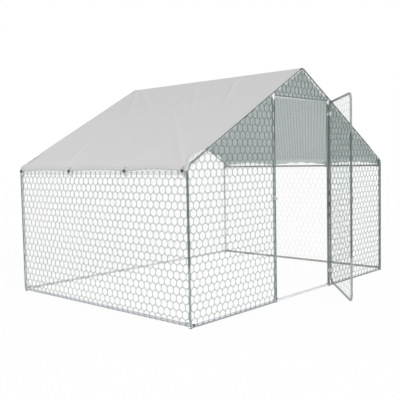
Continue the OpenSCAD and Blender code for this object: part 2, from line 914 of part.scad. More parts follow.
module door_path(d) {
    r = door_corner_r;
    for (x = [0, -door_w]) {
        translate([x, 0, door_bottom_h + r]) cylinder(h = door_top_h - door_bottom_h - 2 * r, d = d);
    }
    for (z = [door_bottom_h, door_top_h]) {
        translate([-door_w + r, 0, z]) rotate([0, 90, 0]) cylinder(h = door_w - 2 * r, d = d);
    }
    corners = [
        [-r, door_top_h - r, 0], [-door_w + r, door_top_h - r, 90],
        [-door_w + r, door_bottom_h + r, 180], [-r, door_bottom_h + r, 270]
    ];
    for (c = corners) {
        translate([c[0], 0, c[1]]) rotate([90, 0, 0]) rotate([0, 0, c[2]])
            rotate_extrude(angle = 90) translate([r, 0]) circle(d = d);
    }
}

latch_screw_z = [latch_h - plate_h / 2 + small_screw_d + 2, latch_h + plate_h / 2 - small_screw_d - 2];

module small_screw_hole(z) {
    translate([-door_w, 0, z]) rotate([90, 0, 0]) cylinder(h = door_od, d = small_screw_d + 2 * screw_gap);
}

module door_frame() {
    color("darkkhaki") on_door() difference() {
        door_path(door_od);
        door_path(door_id);
        for (z = latch_screw_z) {
            small_screw_hole(z);
        }
    }
}

// Net on the door's outer face, cut out round the hinges and the latch.
module door_net() {
    cut = door_corner_r * (1 - sqrt(0.5)) * 2;
    low = door_bottom_h;
    high = door_top_h;
    outline = [
        [-door_w + cut, low], [-cut, low], [0, low + cut], [0, high - cut],
        [-cut, high], [-door_w + cut, high], [-door_w, high - cut], [-door_w, low + cut]
    ];
    hinge_cut = door_r + max(strap_t, collar_t) + 2;
    on_door() on_front(door_r + net_gap) net_plate() difference() {
        hex_net(outline, door_w / door_cells, [-door_w, lintel_h]);
        for (h = [hinge_top_h, hinge_bottom_h]) {
            translate([-hinge_cut, h - strap_w / 2 - 2]) square([2 * hinge_cut, strap_w + collar_h + 4]);
        }
        translate([plate_from - 1, latch_h - plate_h / 2 - 1]) square([plate_to - plate_from + 2, plate_h + 2]);
    }
}

module hinge_collars() {
    color("silver") on_door() for (h = [hinge_top_h, hinge_bottom_h]) {
        translate([0, 0, h + strap_w / 2 + fit_gap]) difference() {
            cylinder(h = collar_h, r = door_r + fit_gap + collar_t);
            translate([0, 0, -1]) cylinder(h = collar_h + 2, r = door_r + fit_gap);
        }
    }
}

module latch_plate() {
    face = -door_r - fit_gap;
    guide_h = bolt_d + 8;
    color("silver") on_door() difference() {
        union() {
            translate([plate_from, face - plate_t, latch_h - plate_h / 2])
                cube([plate_to - plate_from, plate_t, plate_h]);
            for (x = guide_x) {
                translate([x - guide_t / 2, -bolt_out, latch_h - guide_h / 2])
                    cube([guide_t, bolt_out + face - plate_t + 1, guide_h]);
                translate([x - guide_t / 2, -bolt_out, latch_h]) rotate([0, 90, 0]) cylinder(h = guide_t, d = guide_h);
            }
        }
        translate([plate_from - 1, -bolt_out, latch_h]) rotate([0, 90, 0])
            cylinder(h = plate_to - plate_from + 2, r = bolt_d / 2 + bolt_clear);
        for (z = latch_screw_z) {
            small_screw_hole(z);
        }
    }
}

module latch_screws() {
    seat = door_r + fit_gap + plate_t;
    color("darkslategray") on_door() for (z = latch_screw_z) {
        translate([-door_w, -seat, z]) rotate([90, 0, 0]) {
            translate([0, 0, fit_gap]) cylinder(h = small_screw_d / 2, d = 2 * small_screw_d - 1);
            translate([0, 0, -plate_t - 3]) cylinder(h = plate_t + 3 + 2 * fit_gap, d = small_screw_d);
        }
    }
}

module latch_bolt() {
    color("silver") on_door() translate([0, -bolt_out, latch_h]) {
        translate([bolt_tip, 0, 0]) rotate([0, 90, 0]) cylinder(h = bolt_tail - bolt_tip, d = bolt_d);
        translate([knob_x, 0, 0]) rotate([90, 0, 0]) cylinder(h = 3 * bolt_d, d = bolt_d - 1);
        translate([knob_x, -3 * bolt_d, 0]) sphere(d = bolt_d + 3);
    }
}

post_front_left();
post_front_right();
post_back_left();
post_back_right();
rafter_front_left();
rafter_front_right();
rafter_back_left();
rafter_back_right();
peak_bend_front();
peak_bend_back();
ridge_rail();
eave_rail_left();
eave_rail_right();
base_rail_left();
base_rail_right();
base_rail_back();
base_rail_front_left();
base_rail_front_right();
door_sill();
door_post_left();
door_post_right();
lintel();
tee_left();
tee_right();
post_feet();
base_screws();
eave_screws();
roof_screws();
lintel_screws();
net_left();
net_right();
net_back();
net_front_left();
net_front_right();
net_gable();
net_shoulder_left();
net_shoulder_right();
net_roof_left();
net_roof_right();
roof_cover();
cover_eyelets();
cover_ties();
tie_balls();
hinge_strap_top();
hinge_strap_bottom();
hinge_screws();
latch_keeper();
keeper_screw();
door_frame();
door_net();
hinge_collars();
latch_plate();
latch_screws();
latch_bolt();
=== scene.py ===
"""Looks of the walk-in chicken run: wire nets, roof cover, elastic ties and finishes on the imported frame.

Lengths are in metres in the part's own frame: x runs along the front, y to the back and z up.
"""

import json
import math

import bmesh
import bpy
import numpy as np
from mathutils import Matrix, Vector


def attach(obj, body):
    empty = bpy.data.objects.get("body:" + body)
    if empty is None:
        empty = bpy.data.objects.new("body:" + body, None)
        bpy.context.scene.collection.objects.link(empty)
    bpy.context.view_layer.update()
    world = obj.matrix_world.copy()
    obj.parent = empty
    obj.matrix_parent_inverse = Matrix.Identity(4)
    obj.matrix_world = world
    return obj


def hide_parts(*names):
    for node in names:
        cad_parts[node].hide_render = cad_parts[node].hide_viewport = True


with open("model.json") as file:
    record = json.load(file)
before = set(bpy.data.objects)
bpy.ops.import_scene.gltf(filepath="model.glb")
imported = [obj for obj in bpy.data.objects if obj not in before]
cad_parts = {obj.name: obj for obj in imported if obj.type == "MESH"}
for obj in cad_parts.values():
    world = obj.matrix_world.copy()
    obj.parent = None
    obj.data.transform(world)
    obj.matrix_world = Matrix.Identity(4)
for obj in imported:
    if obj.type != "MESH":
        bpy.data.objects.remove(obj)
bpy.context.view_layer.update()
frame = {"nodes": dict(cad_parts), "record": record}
nodes = frame["nodes"]

# Sizes of the frame, as in the part's source
RUN_W = 2.75
RUN_D = 2.0
EAVE_H = 1.04
RIDGE_H = 1.85
BASE_H = 0.024
FRONT_H = 0.0125
TUBE_R = 0.0095
BEND_R = 0.07
PEAK_R = 0.05
BEND_Z = EAVE_H + 0.003
DOOR_W = 0.8
DOOR_OPEN = math.radians(41.5)
DOOR_R = 0.008
DOOR_CORNER_R = 0.06
DOOR_LOW = 0.046
HINGE_OUT = TUBE_R + 0.007 + DOOR_R
HINGE_HEIGHTS = (1.5, 0.14)
LATCH_H = 0.82

to_peak = Vector((RUN_W / 2 - BEND_R, RIDGE_H - BEND_Z))
PITCH = math.atan2(to_peak.y, to_peak.x) - math.asin(BEND_R / to_peak.length)
TURN = math.pi / 2 - PITCH
SLOPE_LEN = math.sqrt(to_peak.length_squared - BEND_R**2)
SLOPE_X = BEND_R * (1 - math.sin(PITCH))
SLOPE_Z = BEND_Z + BEND_R * math.cos(PITCH)
RAFTER_LEN = SLOPE_LEN - PEAK_R * math.tan(PITCH)
PEAK_Z = RIDGE_H - PEAK_R * (1 / math.cos(PITCH) - 1)
POST_LEFT_X = (RUN_W - DOOR_W) / 2
POST_RIGHT_X = (RUN_W + DOOR_W) / 2
DOOR_RAFTER_Z = SLOPE_Z + (POST_LEFT_X - SLOPE_X) * math.tan(PITCH)
LINTEL_H = DOOR_RAFTER_Z - 0.02
DOOR_HIGH = LINTEL_H - 0.008

# Sizes of the soft pieces
WIRE_R = 0.002
TWIST_R = 0.0002
MESH_ROW = 0.0527
BEND_SHARE = 0.12
EDGE_TWIST = 0.028
EDGE_PALE_H = 0.46
EDGE_PALE_FADE = 0.08
NET_GAP = 0.0003
COVER_T = 0.0012
COVER_OFF = TUBE_R + 0.00455
COVER_OVER = 0.0125
HEM_ANGLE = math.radians(10)
HEM_W = 0.022
NOTCH_LEN = 0.2
NOTCH_LOW = 0.02
NOTCH_DEPTH = 0.055
NOTCH_DEPTH_RIGHT = 0.04
SCALLOP = 0.012
HEM_T = 0.0008
HEM_INSET = 0.0015
HEM_CROWN = 0.0006
HEM_FLAT = 0.024
HEM_WAVE = 0.013
TIE_YS = (0.025, 0.61, 1.28, RUN_D - 0.025)
EYELET_ANGLE = math.radians(31)
CORD_R = 0.002
BALL_R = 0.011

# Points of the cover's mesh: on the bend, the slope and the ridge, along the run, and along a hem
COVER_ROWS = (40, 66, 9)
COVER_COLUMNS = 193
HEM_COLUMNS = 321

# Radii and lengths of the cover across the roof, from hem to hem
COVER_BEND_R = BEND_R + COVER_OFF
COVER_PEAK_R = PEAK_R + COVER_OFF
SHOULDER_ARC = COVER_BEND_R * (TURN - HEM_ANGLE)
RIDGE_ARC = COVER_PEAK_R * PITCH
HALF_SPAN = SHOULDER_ARC + RAFTER_LEN + RIDGE_ARC
SPAN = 2 * HALF_SPAN

# Knits of the netting: near walls, front right, far walls, door, and the finer net under the cover
NEAR_KNIT = {
    "Cell width": 0.0588,
    "Row pitch": MESH_ROW,
    "Twist length": 0.032,
    "Twist turns": 1.5,
    "Twist steps": 4,
    "Bend steps": 3,
    "Sides": 4,
    "Wire radius": WIRE_R,
    "Twist radius": TWIST_R,
}
RIGHT_KNIT = {**NEAR_KNIT, "Row pitch": 0.049, "Twist length": 0.0298}
FAR_KNIT = {**NEAR_KNIT, "Sides": 3, "Wire radius": 0.0011, "Twist radius": 0.0004}
DOOR_KNIT = {**NEAR_KNIT, "Wire radius": 0.0007, "Twist radius": 0.0003}
ROOF_KNIT = {
    **FAR_KNIT,
    "Cell width": 0.0328,
    "Row pitch": 0.0294,
    "Twist length": 0.0176,
    "Twist turns": 1.0,
    "Twist steps": 2,
    "Bend steps": 2,
}

# Place and lens of the camera, and its turn, lift and roll in degrees
CAMERA_PLACE = (-2.971, -2.828, 1.131)
CAMERA_TURNS = (-47.54, 3.72, -1.15)
CAMERA_LENS = 55.86


def make_camera():
    """Camera at the photograph's place and turn."""
    turn, lift, roll = (math.radians(a) for a in CAMERA_TURNS)
    data = bpy.data.cameras.new("photo_camera")
    data.sensor_width = 36
    data.lens = CAMERA_LENS
    data.clip_start, data.clip_end = 0.05, 60
    camera = add_object("photo_camera", data)
    aimed = Matrix.Rotation(turn, 4, "Z") @ Matrix.Rotation(math.pi / 2 - lift, 4, "X")
    camera.matrix_world = Matrix.Translation(CAMERA_PLACE) @ aimed @ Matrix.Rotation(roll, 4, "Z")
    bpy.context.scene.camera = camera


class Tree:
    """Short forms for building one node tree."""

    def __init__(self, tree):
        self.tree = tree

    def link(self, source, target):
        """Links an output to an input."""
        self.tree.links.new(source, target)

    def put(self, kind, inputs=None, **settings):
        """Adds a node, sets its settings, and links or sets its inputs."""
        node = self.tree.nodes.new(kind)
        for name, value in settings.items():
            setattr(node, name, value)
        for key, value in (inputs or {}).items():
            if isinstance(value, bpy.types.NodeSocket):
                self.link(value, node.inputs[key])
            else:
                node.inputs[key].default_value = value
        return node

    def shade(self, kind, inputs=None, **settings):
        """First output of a new shader node."""
        return self.put("ShaderNode" + kind, inputs, **settings).outputs[0]

    def geo(self, kind, inputs=None, **settings):
        """First output of a new geometry node."""
        return self.put("GeometryNode" + kind, inputs, **settings).outputs[0]

    def group(self, group, inputs=None):
        """Outputs of a node group."""
        return self.put("ShaderNodeGroup", inputs, node_tree=group).outputs

    def sum(self, operation, *values):
        """Math node on sockets or numbers."""
        return self.shade("Math", dict(enumerate(values)), operation=operation)

    def times(self, a, b):
        """Product of two values."""
        return self.sum("MULTIPLY", a, b)

    def scaled(self, a, b, c):
        """Product of two values, plus a third."""
        return self.sum("MULTIPLY_ADD", a, b, c)

    def mix(self, factor, a, b):
        """Mix of two colours, each a socket or a colour."""
        a, b = ((*v, 1) if isinstance(v, tuple) else v for v in (a, b))
        return self.put("ShaderNodeMix", {0: factor, 6: a, 7: b}, data_type="RGBA").outputs[2]

    def place(self):
        """Place in the part's frame."""
        return self.put("ShaderNodeTexCoord").outputs["Object"]

    def axes(self, place):
        """The three lengths of a place."""
        return self.put("ShaderNodeSeparateXYZ", {0: place}).outputs

    def vector(self, **lengths):
        """Vector of lengths named X, Y or Z."""
        return self.shade("CombineXYZ", lengths)

    def noise(self, place, scale, detail):
        """Value of a noise at a place."""
        return self.shade("TexNoise", {"Vector": place, "Scale": scale, "Detail": detail})

    def bump(self, shader, height, strength, distance):
        """Feeds a height through a bump node into a shader's normal."""
        made = self.shade("Bump", {"Height": height, "Strength": strength, "Distance": distance})
        self.link(made, shader["Normal"])


def new_group(name, kind, inputs, outputs):
    """Node group with named sockets; gives its builder, what it is given and what it gives."""
    tree = bpy.data.node_groups.new(name, kind + "NodeTree")
    for label, socket, default in inputs:
        made = tree.interface.new_socket(name=label, in_out="INPUT", socket_type="NodeSocket" + socket)
        if default is not None:
            made.default_value = default
    for label, socket in outputs:
        tree.interface.new_socket(name=label, in_out="OUTPUT", socket_type="NodeSocket" + socket)
    return Tree(tree), tree.nodes.new("NodeGroupInput").outputs, tree.nodes.new("NodeGroupOutput").inputs


def make_zinc_group():
    """Galvanised zinc: crystals a few millimetres wide, slow tone drift and fine handling marks."""
    tree, given, out = new_group(
        "Zinc crystals",
        "Shader",
        [
            ("Dark", "Color", None),
            ("Light", "Color", None),
            ("Crystals per metre", "Float", 160.0),
            ("Roughness", "Float", 0.4),
        ],
        [("Color", "Color"), ("Roughness", "Float"), ("Height", "Float")],
    )
    place = tree.place()
    cells = tree.put("ShaderNodeTexVoronoi", {"Vector": place, "Scale": given["Crystals per metre"]})
    crystal = tree.shade("SeparateColor", {"Color": cells.outputs["Color"]})
    drift, marks = tree.noise(place, 5.0, 3.0), tree.noise(place, 420.0, 4.0)
    tone = tree.scaled(crystal, 0.4, tree.scaled(drift, 1.1, -0.3))
    rough = tree.scaled(crystal, 0.12, tree.scaled(marks, 0.16, given["Roughness"]))
    tree.link(tree.mix(tree.sum("MINIMUM", tone, 1.0), given["Dark"], given["Light"]), out["Color"])
    tree.link(tree.sum("ADD", rough, -0.14), out["Roughness"])
    tree.link(tree.scaled(marks, 0.4, crystal), out["Height"])
    return tree.tree


def make_weave_group():
    """Plain weave of flat tapes on the cloth's own map, in metres, with a little unevenness."""
    tree, given, out = new_group(
        "Tape weave", "Shader", [("Tapes per metre", "Float", 420.0)], [("Height", "Float"), ("Tone", "Float")]
    )
    place = tree.shade("UVMap")
    across = tree.axes(place)
    turns = tree.times(given["Tapes per metre"], math.pi)
    warp, weft = (tree.sum("SINE", tree.times(across[i], turns)) for i in (0, 1))
    over = tree.times(warp, weft)
    tree.link(tree.scaled(over, 0.5, 0.5), out["Height"])
    tree.link(tree.scaled(over, 0.12, tree.noise(place, 60.0, 3.0)), out["Tone"])
    return tree.tree


def make_dust_group():
    """Dust and rain marks: patches, more of them near the ground."""
    tree, given, out = new_group("Yard dust", "Shader", [("Amount", "Float", 0.3)], [("Mask", "Float")])
    place = tree.place()
    near = tree.sum("SUBTRACT", 1.0, tree.sum("DIVIDE", tree.axes(place)[2], DUST_REACH))
    low = tree.sum("MAXIMUM", near, 0.15)
    tree.link(tree.times(tree.times(low, tree.noise(place, 22.0, 6.0)), given["Amount"]), out["Mask"])
    return tree.tree


def new_material(name):
    """Empty material with a Principled shader; gives the material, its builder and the shader's inputs."""
    material = bpy.data.materials.new(name)
    material.use_nodes = True
    tree = material.node_tree
    return material, Tree(tree), tree.nodes["Principled BSDF"].inputs


def zinc_material(
    name, dark, light, roughness=0.42, dust=0.3, crystals=160.0, metal=0.85, painted_highlights=(), twisted=None, gloss=0.5
):
    """Galvanised or plated steel, dusty near the ground.

    Each zone of painted highlight is a list of (axis, place, way) steps, and the metal is painted paler where all
    steps of a zone hold.
    A colour for twisted is that of the zinc in the twists of netting below the eaves.
    """
    material, tree, shader = new_material(name)
    looks = {"Dark": (*dark, 1), "Light": (*light, 1), "Crystals per metre": crystals, "Roughness": roughness}
    zinc = tree.group(zinc_group, looks)
    dusty = tree.group(dust_group, {"Amount": dust})["Mask"]
    colour = tree.mix(dusty, zinc["Color"], EARTH)
    place = tree.axes(tree.place())
    # Painted highlight: a paler tone of the metal laid over each zone, where light catches the tube
    highlight_tone = tuple(min(0.9, 0.15 + 0.9 * c) for c in light)
    for zone in painted_highlights:
        share = 1.0
        for axis, start, way in zone:
            step = {"Value": place[axis], "From Min": start, "From Max": start + ZONE_FADE * way}
            share = tree.times(tree.shade("MapRange", step), share)
        colour = tree.mix(share, colour, highlight_tone)
    if twisted:
        twist = tree.put("ShaderNodeAttribute", attribute_name="twist").outputs["Fac"]
        eave = {"From Min": EAVE_H - 0.06, "From Max": EAVE_H + 0.04, "To Min": 1.0, "To Max": 0.1}
        low = tree.shade("MapRange", {"Value": place[2], **eave})
        colour = tree.mix(tree.times(twist, low), colour, twisted)
    tree.link(colour, shader["Base Color"])
    tree.link(tree.sum("ADD", zinc["Roughness"], dusty), shader["Roughness"])
    shader["Metallic"].default_value = metal
    shader["Specular IOR Level"].default_value = gloss
    tree.bump(shader, zinc["Height"], 0.12, 0.0002)
    return material


def cloth_material(name, dark, light, fade=0.0):
    """Woven tarpaulin with a thin coat: weave, soft blotches, fading towards the hems, and a low sheen."""
    material, tree, shader = new_material(name)
    weave = tree.group(weave_group)
    place = tree.shade("UVMap")
    from_ridge = tree.sum("ABSOLUTE", tree.sum("SUBTRACT", tree.axes(place)[0], HALF_SPAN))
    faded = tree.times(from_ridge, fade / HALF_SPAN)
    cloudy = tree.scaled(tree.noise(place, 2.2, 4.0), 0.75 - fade, faded)
    tone = tree.scaled(weave["Tone"], 0.25, cloudy)
    tree.link(tree.mix(tone, dark, light), shader["Base Color"])
    tree.link(tree.scaled(tone, 0.2, 0.62), shader["Roughness"])
    shader["Specular IOR Level"].default_value = 0.15
    shader["Sheen Weight"].default_value = 0.03
    tree.bump(shader, weave["Height"], 0.25, 0.0004)
    return material


def moulded_material(name, dark, light, roughness):
    """Moulded plastic: faint flow marks, fine grain and pale dust."""
    material, tree, shader = new_material(name)
    place = tree.place()
    flow, grain = tree.noise(place, 90.0, 5.0), tree.noise(place, 1500.0, 2.0)
    dusty = tree.group(dust_group, {"Amount": 0.35})["Mask"]
    tree.link(tree.mix(dusty, tree.mix(flow, dark, light), (0.22, 0.20, 0.17)), shader["Base Color"])
    tree.link(tree.scaled(flow, 0.2, roughness - 0.1), shader["Roughness"])
    tree.bump(shader, grain, 0.15, 0.0001)
    return material


def braid_material(name, dark, light):
    """Elastic cord in a braided jacket: fine crossed bands on the cord's own map."""
    material, tree, shader = new_material(name)
    braid = tree.group(weave_group, {"Tapes per metre": 700.0})
    tree.link(tree.mix(braid["Tone"], dark, light), shader["Base Color"])
    tree.link(tree.scaled(braid["Height"], 0.15, 0.6), shader["Roughness"])
    tree.bump(shader, braid["Height"], 0.5, 0.0004)
    return material


# Colour of dust on metal and how high it reaches, how softly a zone of painted highlight begins, and those zones
# themselves
EARTH = (0.34, 0.30, 0.25)
DUST_REACH = 0.25
ZONE_FADE = 0.04
IN_GABLE = [(0, POST_LEFT_X, 1), (0, POST_RIGHT_X, -1)]
ON_SHOULDER = [(2, BEND_Z - 0.01, 1)]
LOW_ON_POST = [(2, 0.42, -1)]
FREE_STILE = (1, -0.1, -1)
DOOR_ENDS = [[(2, 1.3, 1), FREE_STILE], [(2, 0.4, -1), FREE_STILE]]
WIRE = {"crystals": 600.0, "metal": 0.4}

zinc_group = make_zinc_group()
weave_group = make_weave_group()
dust_group = make_dust_group()
# Lit and shaded copies of the one galvanised zinc of the tubes, as painted light and shade: darker on the upright
# posts and the door, paler on the rails, rafters, bends and sill, with zones of painted highlight
tube_zinc = zinc_material("tube_zinc", (0.22, 0.25, 0.255), (0.54, 0.575, 0.58))
shade_zinc = zinc_material("shade_zinc", (0.13, 0.155, 0.16), (0.33, 0.36, 0.365))
corner_zinc = zinc_material("corner_zinc", (0.40, 0.43, 0.44), (0.78, 0.81, 0.82), painted_highlights=[ON_SHOULDER])
front_zinc = zinc_material("front_zinc", (0.34, 0.37, 0.38), (0.70, 0.73, 0.74), painted_highlights=[ON_SHOULDER, LOW_ON_POST])
base_zinc = zinc_material("base_zinc", (0.62, 0.63, 0.68), (0.86, 0.86, 0.91), 0.45, dust=0.12, metal=0.7)
# A darker, browner zinc on the right eave and base rails
right_rail_zinc = zinc_material("right_rail_zinc", (0.36, 0.35, 0.33), (0.66, 0.64, 0.62), 0.45)
# Painted light: the palest copy, for the eave rail and the other frame tubes, lifting them out of the cover's shade
rail_zinc = zinc_material("rail_zinc", (0.88, 0.89, 0.90), (0.98, 0.98, 0.99), 0.5, dust=0.05, metal=0.25)
lintel_zinc = zinc_material("lintel_zinc", (0.42, 0.45, 0.46), (0.74, 0.77, 0.78))
rafter_zinc = zinc_material("rafter_zinc", (0.50, 0.53, 0.54), (0.84, 0.86, 0.87), painted_highlights=[IN_GABLE])
# Painted shade on the door's tubes, with painted highlights at the ends of its free stile
door_zinc = zinc_material("door_zinc", (0.11, 0.12, 0.115), (0.32, 0.325, 0.31), painted_highlights=DOOR_ENDS)
sleeve_zinc = zinc_material("sleeve_zinc", (0.80, 0.81, 0.82), (0.97, 0.97, 0.98), 0.3, dust=0.1)
near_tones = (0.002, 0.045, 0.036), (0.012, 0.085, 0.07)
near_wire = zinc_material("near_wire", *near_tones, 0.6, twisted=(0.20, 0.27, 0.25), gloss=0.15, **WIRE)
door_wire = zinc_material("door_wire", (0.04, 0.15, 0.13), (0.10, 0.23, 0.20), 0.6, **WIRE)
roof_wire = zinc_material("roof_wire", (0.02, 0.05, 0.045), (0.06, 0.10, 0.09), 0.6, gloss=0.2, **WIRE)
far_wire = zinc_material("far_wire", (0.56, 0.63, 0.60), (0.72, 0.78, 0.75), 0.5, crystals=600.0, metal=0.6)
fitting_zinc = zinc_material("fitting_zinc", (0.42, 0.43, 0.45), (0.72, 0.72, 0.70), 0.35, crystals=500.0)
screw_black = moulded_material("screw_black", (0.025, 0.026, 0.028), (0.06, 0.06, 0.065), 0.4)
plastic_black = moulded_material("plastic_black", (0.012, 0.012, 0.013), (0.035, 0.035, 0.037), 0.35)
cord_grey = braid_material("cord_grey", (0.20, 0.205, 0.21), (0.36, 0.365, 0.37))
cover_outside = cloth_material("cover_outside", (0.488, 0.493, 0.488), (0.608, 0.613, 0.608), fade=0.45)
cover_inside = cloth_material("cover_inside", (0.75, 0.81, 0.805), (0.86, 0.90, 0.895))
stitch_grey = cloth_material("stitch_grey", (0.40, 0.41, 0.41), (0.55, 0.56, 0.56))


def make_wire_tree():
    """Hexagonal wire netting in the xy plane: a twisted pair and two bent single wires for each cell."""
    sizes = [(name, "Int" if isinstance(size, int) else "Float", size) for name, size in NEAR_KNIT.items()]
    tree, given, out = new_group(
        "Hexagonal netting",
        "Geometry",
        [("Columns", "Int", 9), ("Rows", "Int", 9), *sizes, ("Centre", "Vector", None), ("Finish", "Material", None)],
        [("Netting", "Geometry")],
    )
    width, pitch, twist_r = given["Cell width"], given["Row pitch"], given["Twist radius"]
    half_width = tree.sum("DIVIDE", width, 2.0)
    steps = [tree.sum("SUBTRACT", given[n], 1.0) for n in ("Columns", "Rows")]
    grid = {
        "Size X": tree.times(steps[0], width),
        "Size Y": tree.times(steps[1], pitch),
        "Vertices X": given["Columns"],
        "Vertices Y": given["Rows"],
    }
    row = tree.sum("ROUND", tree.sum("DIVIDE", tree.axes(tree.geo("InputPosition"))[1], pitch))
    stagger = tree.vector(X=tree.times(tree.sum("FLOORED_MODULO", row, 2.0), half_width))
    offset = tree.shade("VectorMath", {0: stagger, 1: given["Centre"]}, operation="ADD")
    points = tree.geo("SetPosition", {"Geometry": tree.geo("MeshGrid", grid), "Offset": offset})

    half = tree.sum("DIVIDE", given["Twist length"], 2.0)
    low = tree.vector(Y=tree.times(half, -1.0))
    coil = {
        "Resolution": given["Twist steps"],
        "Rotations": given["Twist turns"],
        "Start Radius": twist_r,
        "End Radius": twist_r,
        "Height": given["Twist length"],
    }
    spiral = tree.geo("CurveSpiral", coil)
    marked = tree.geo("StoreNamedAttribute", {"Geometry": spiral, "Name": "twist", "Value": 1.0})
    strands = []
    for phase in (0.0, math.pi):
        spun = tree.geo("Transform", {"Geometry": marked, "Rotation": (0, 0, phase)})
        stood = {"Geometry": spun, "Rotation": (-math.pi / 2, 0, 0), "Translation": low}
        strands.append(tree.geo("Transform", stood))
    rise = tree.sum("SUBTRACT", pitch, half)
    bend = tree.times(tree.sum("SUBTRACT", rise, half), BEND_SHARE)
    handles = [tree.vector(Y=tree.times(bend, way)) for way in (1.0, -1.0)]
    reach = tree.sum("SUBTRACT", half_width, twist_r)
    for way in (-1.0, 1.0):
        ends = [tree.vector(X=tree.times(x, way), Y=y) for x, y in ((twist_r, half), (reach, rise))]
        bent = {
            "Resolution": given["Bend steps"],
            "Start": ends[0],
            "Start Handle": handles[0],
            "End Handle": handles[1],
            "End": ends[1],
        }
        strands.append(tree.geo("CurvePrimitiveBezierSegment", bent, mode="OFFSET"))
    bundle = tree.put("GeometryNodeJoinGeometry")
    for strand in strands:
        tree.link(strand, bundle.inputs[0])
    profile = tree.geo("CurvePrimitiveCircle", {"Resolution": given["Sides"], "Radius": given["Wire radius"]})
    wires = {"Curve": bundle.outputs[0], "Profile Curve": profile, "Fill Caps": True}
    cells = tree.geo("InstanceOnPoints", {"Points": points, "Instance": tree.geo("CurveToMesh", wires)})
    smooth = tree.geo("SetShadeSmooth", {"Geometry": tree.geo("RealizeInstances", {"Geometry": cells})})
    tree.link(tree.geo("SetMaterial", {"Geometry": smooth, "Material": given["Finish"]}), out["Netting"])
    return tree.tree


def make_repeat_tree():
    """Copies of one template on marked points, each turned by the point's own turn."""
    tree, given, out = new_group(
        "Repeat on points",
        "Geometry",
        [("Points", "Geometry", None), ("Template", "Object", None), ("Finish", "Material", None)],
        [("Copies", "Geometry")],
    )
    template = tree.put("GeometryNodeObjectInfo", {"Object": given["Template"]}).outputs["Geometry"]
    turn = tree.geo("InputNamedAttribute", {"Name": "turn"}, data_type="FLOAT_VECTOR")
    spread = tree.geo("InstanceOnPoints", {"Points": given["Points"], "Instance": template, "Rotation": turn})
    whole = tree.geo("RealizeInstances", {"Geometry": spread})
    tree.link(tree.geo("SetMaterial", {"Geometry": whole, "Material": given["Finish"]}), out["Copies"])
    return tree.tree


wire_tree = make_wire_tree()
repeat_tree = make_repeat_tree()


def add_object(name, data):
    """New object in the scene."""
    made = bpy.data.objects.new(name, data)
    bpy.context.scene.collection.objects.link(made)
    return made


def keep_shape(shape, name, smooth=True):
    """Mesh of a shape, with its faces outward; the shape is freed."""
    bmesh.ops.recalc_face_normals(shape, faces=shape.faces)
    mesh = bpy.data.meshes.new(name)
    shape.to_mesh(mesh)
    shape.free()
    if smooth:
        mesh.shade_smooth()
    return mesh


def evaluated_mesh(piece):
    """Mesh that an object's curve or modifiers make."""
    return bpy.data.meshes.new_from_object(piece.evaluated_get(bpy.context.evaluated_depsgraph_get()))


def grow(name, tree, values, mesh=None):
    """Runs a geometry tree on an object and leaves its result as a plain mesh."""
    piece = add_object(name, mesh or bpy.data.meshes.new(name))
    modifier = piece.modifiers.new("Make", "NODES")
    modifier.node_group = tree
    for item in tree.interface.items_tree:
        if item.in_out == "INPUT" and item.name in values:
            modifier[item.identifier] = values[item.name]
    made = evaluated_mesh(piece)
    piece.modifiers.remove(modifier)
    piece.data = made
    made.name = name
    return piece


def skin(shape, rings, around=True, closed=False):
    """Adds rings of points to a shape with faces from each ring to the next; a ring of one point is a tip."""
    rings = [[shape.verts.new(p) for p in ring] for ring in rings]
    for low, high in zip(rings, rings[1:] + rings[:1] if closed else rings[1:]):
        count = max(len(low), len(high))
        for i in range(count if around else count - 1):
            j = (i + 1) % count
            corners = [low[i % len(low)], low[j % len(low)], high[j % len(high)], high[i % len(high)]]
            shape.faces.new(list(dict.fromkeys(corners)))
    return rings


def settle(piece, body, replaced=()):
    """A finished piece rides on its body and stands for its CAD nodes, which it hides."""
    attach(piece, body)
    if replaced:
        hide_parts(*replaced)
    return piece


def repeat(name, template, places, finish, replaced=()):
    """Copies of a template mesh as one piece of the frame, at (point, turn) places; the template is removed."""
    marks = bpy.data.meshes.new(name + "_marks")
    marks.from_pydata([tuple(point) for point, _ in places], [], [])
    turns = marks.attributes.new("turn", "FLOAT_VECTOR", "POINT")
    turns.data.foreach_set("vector", [v for _, turn in places for v in turn])
    pattern = add_object(name + "_template", template)
    piece = grow(name, repeat_tree, {"Template": pattern, "Finish": finish}, marks)
    bpy.data.objects.remove(pattern)
    return settle(piece, "frame", replaced)


# How far a lift over a fitting reaches, in its own half widths, and the netting cut off beyond a wall's corners
LIFT_REACH = 1.6
NET_SPARE = 0.06


class Border:
    """Tube at a net's edge: a line in the net's plane, its outward side, and how far the net wraps round it."""

    def __init__(self, point, outward, wrap, depth=0.0, edged=True):
        self.point = np.array(point)
        self.outward = np.array(outward) / np.linalg.norm(outward)
        self.wrap, self.depth, self.edged = wrap, depth, edged


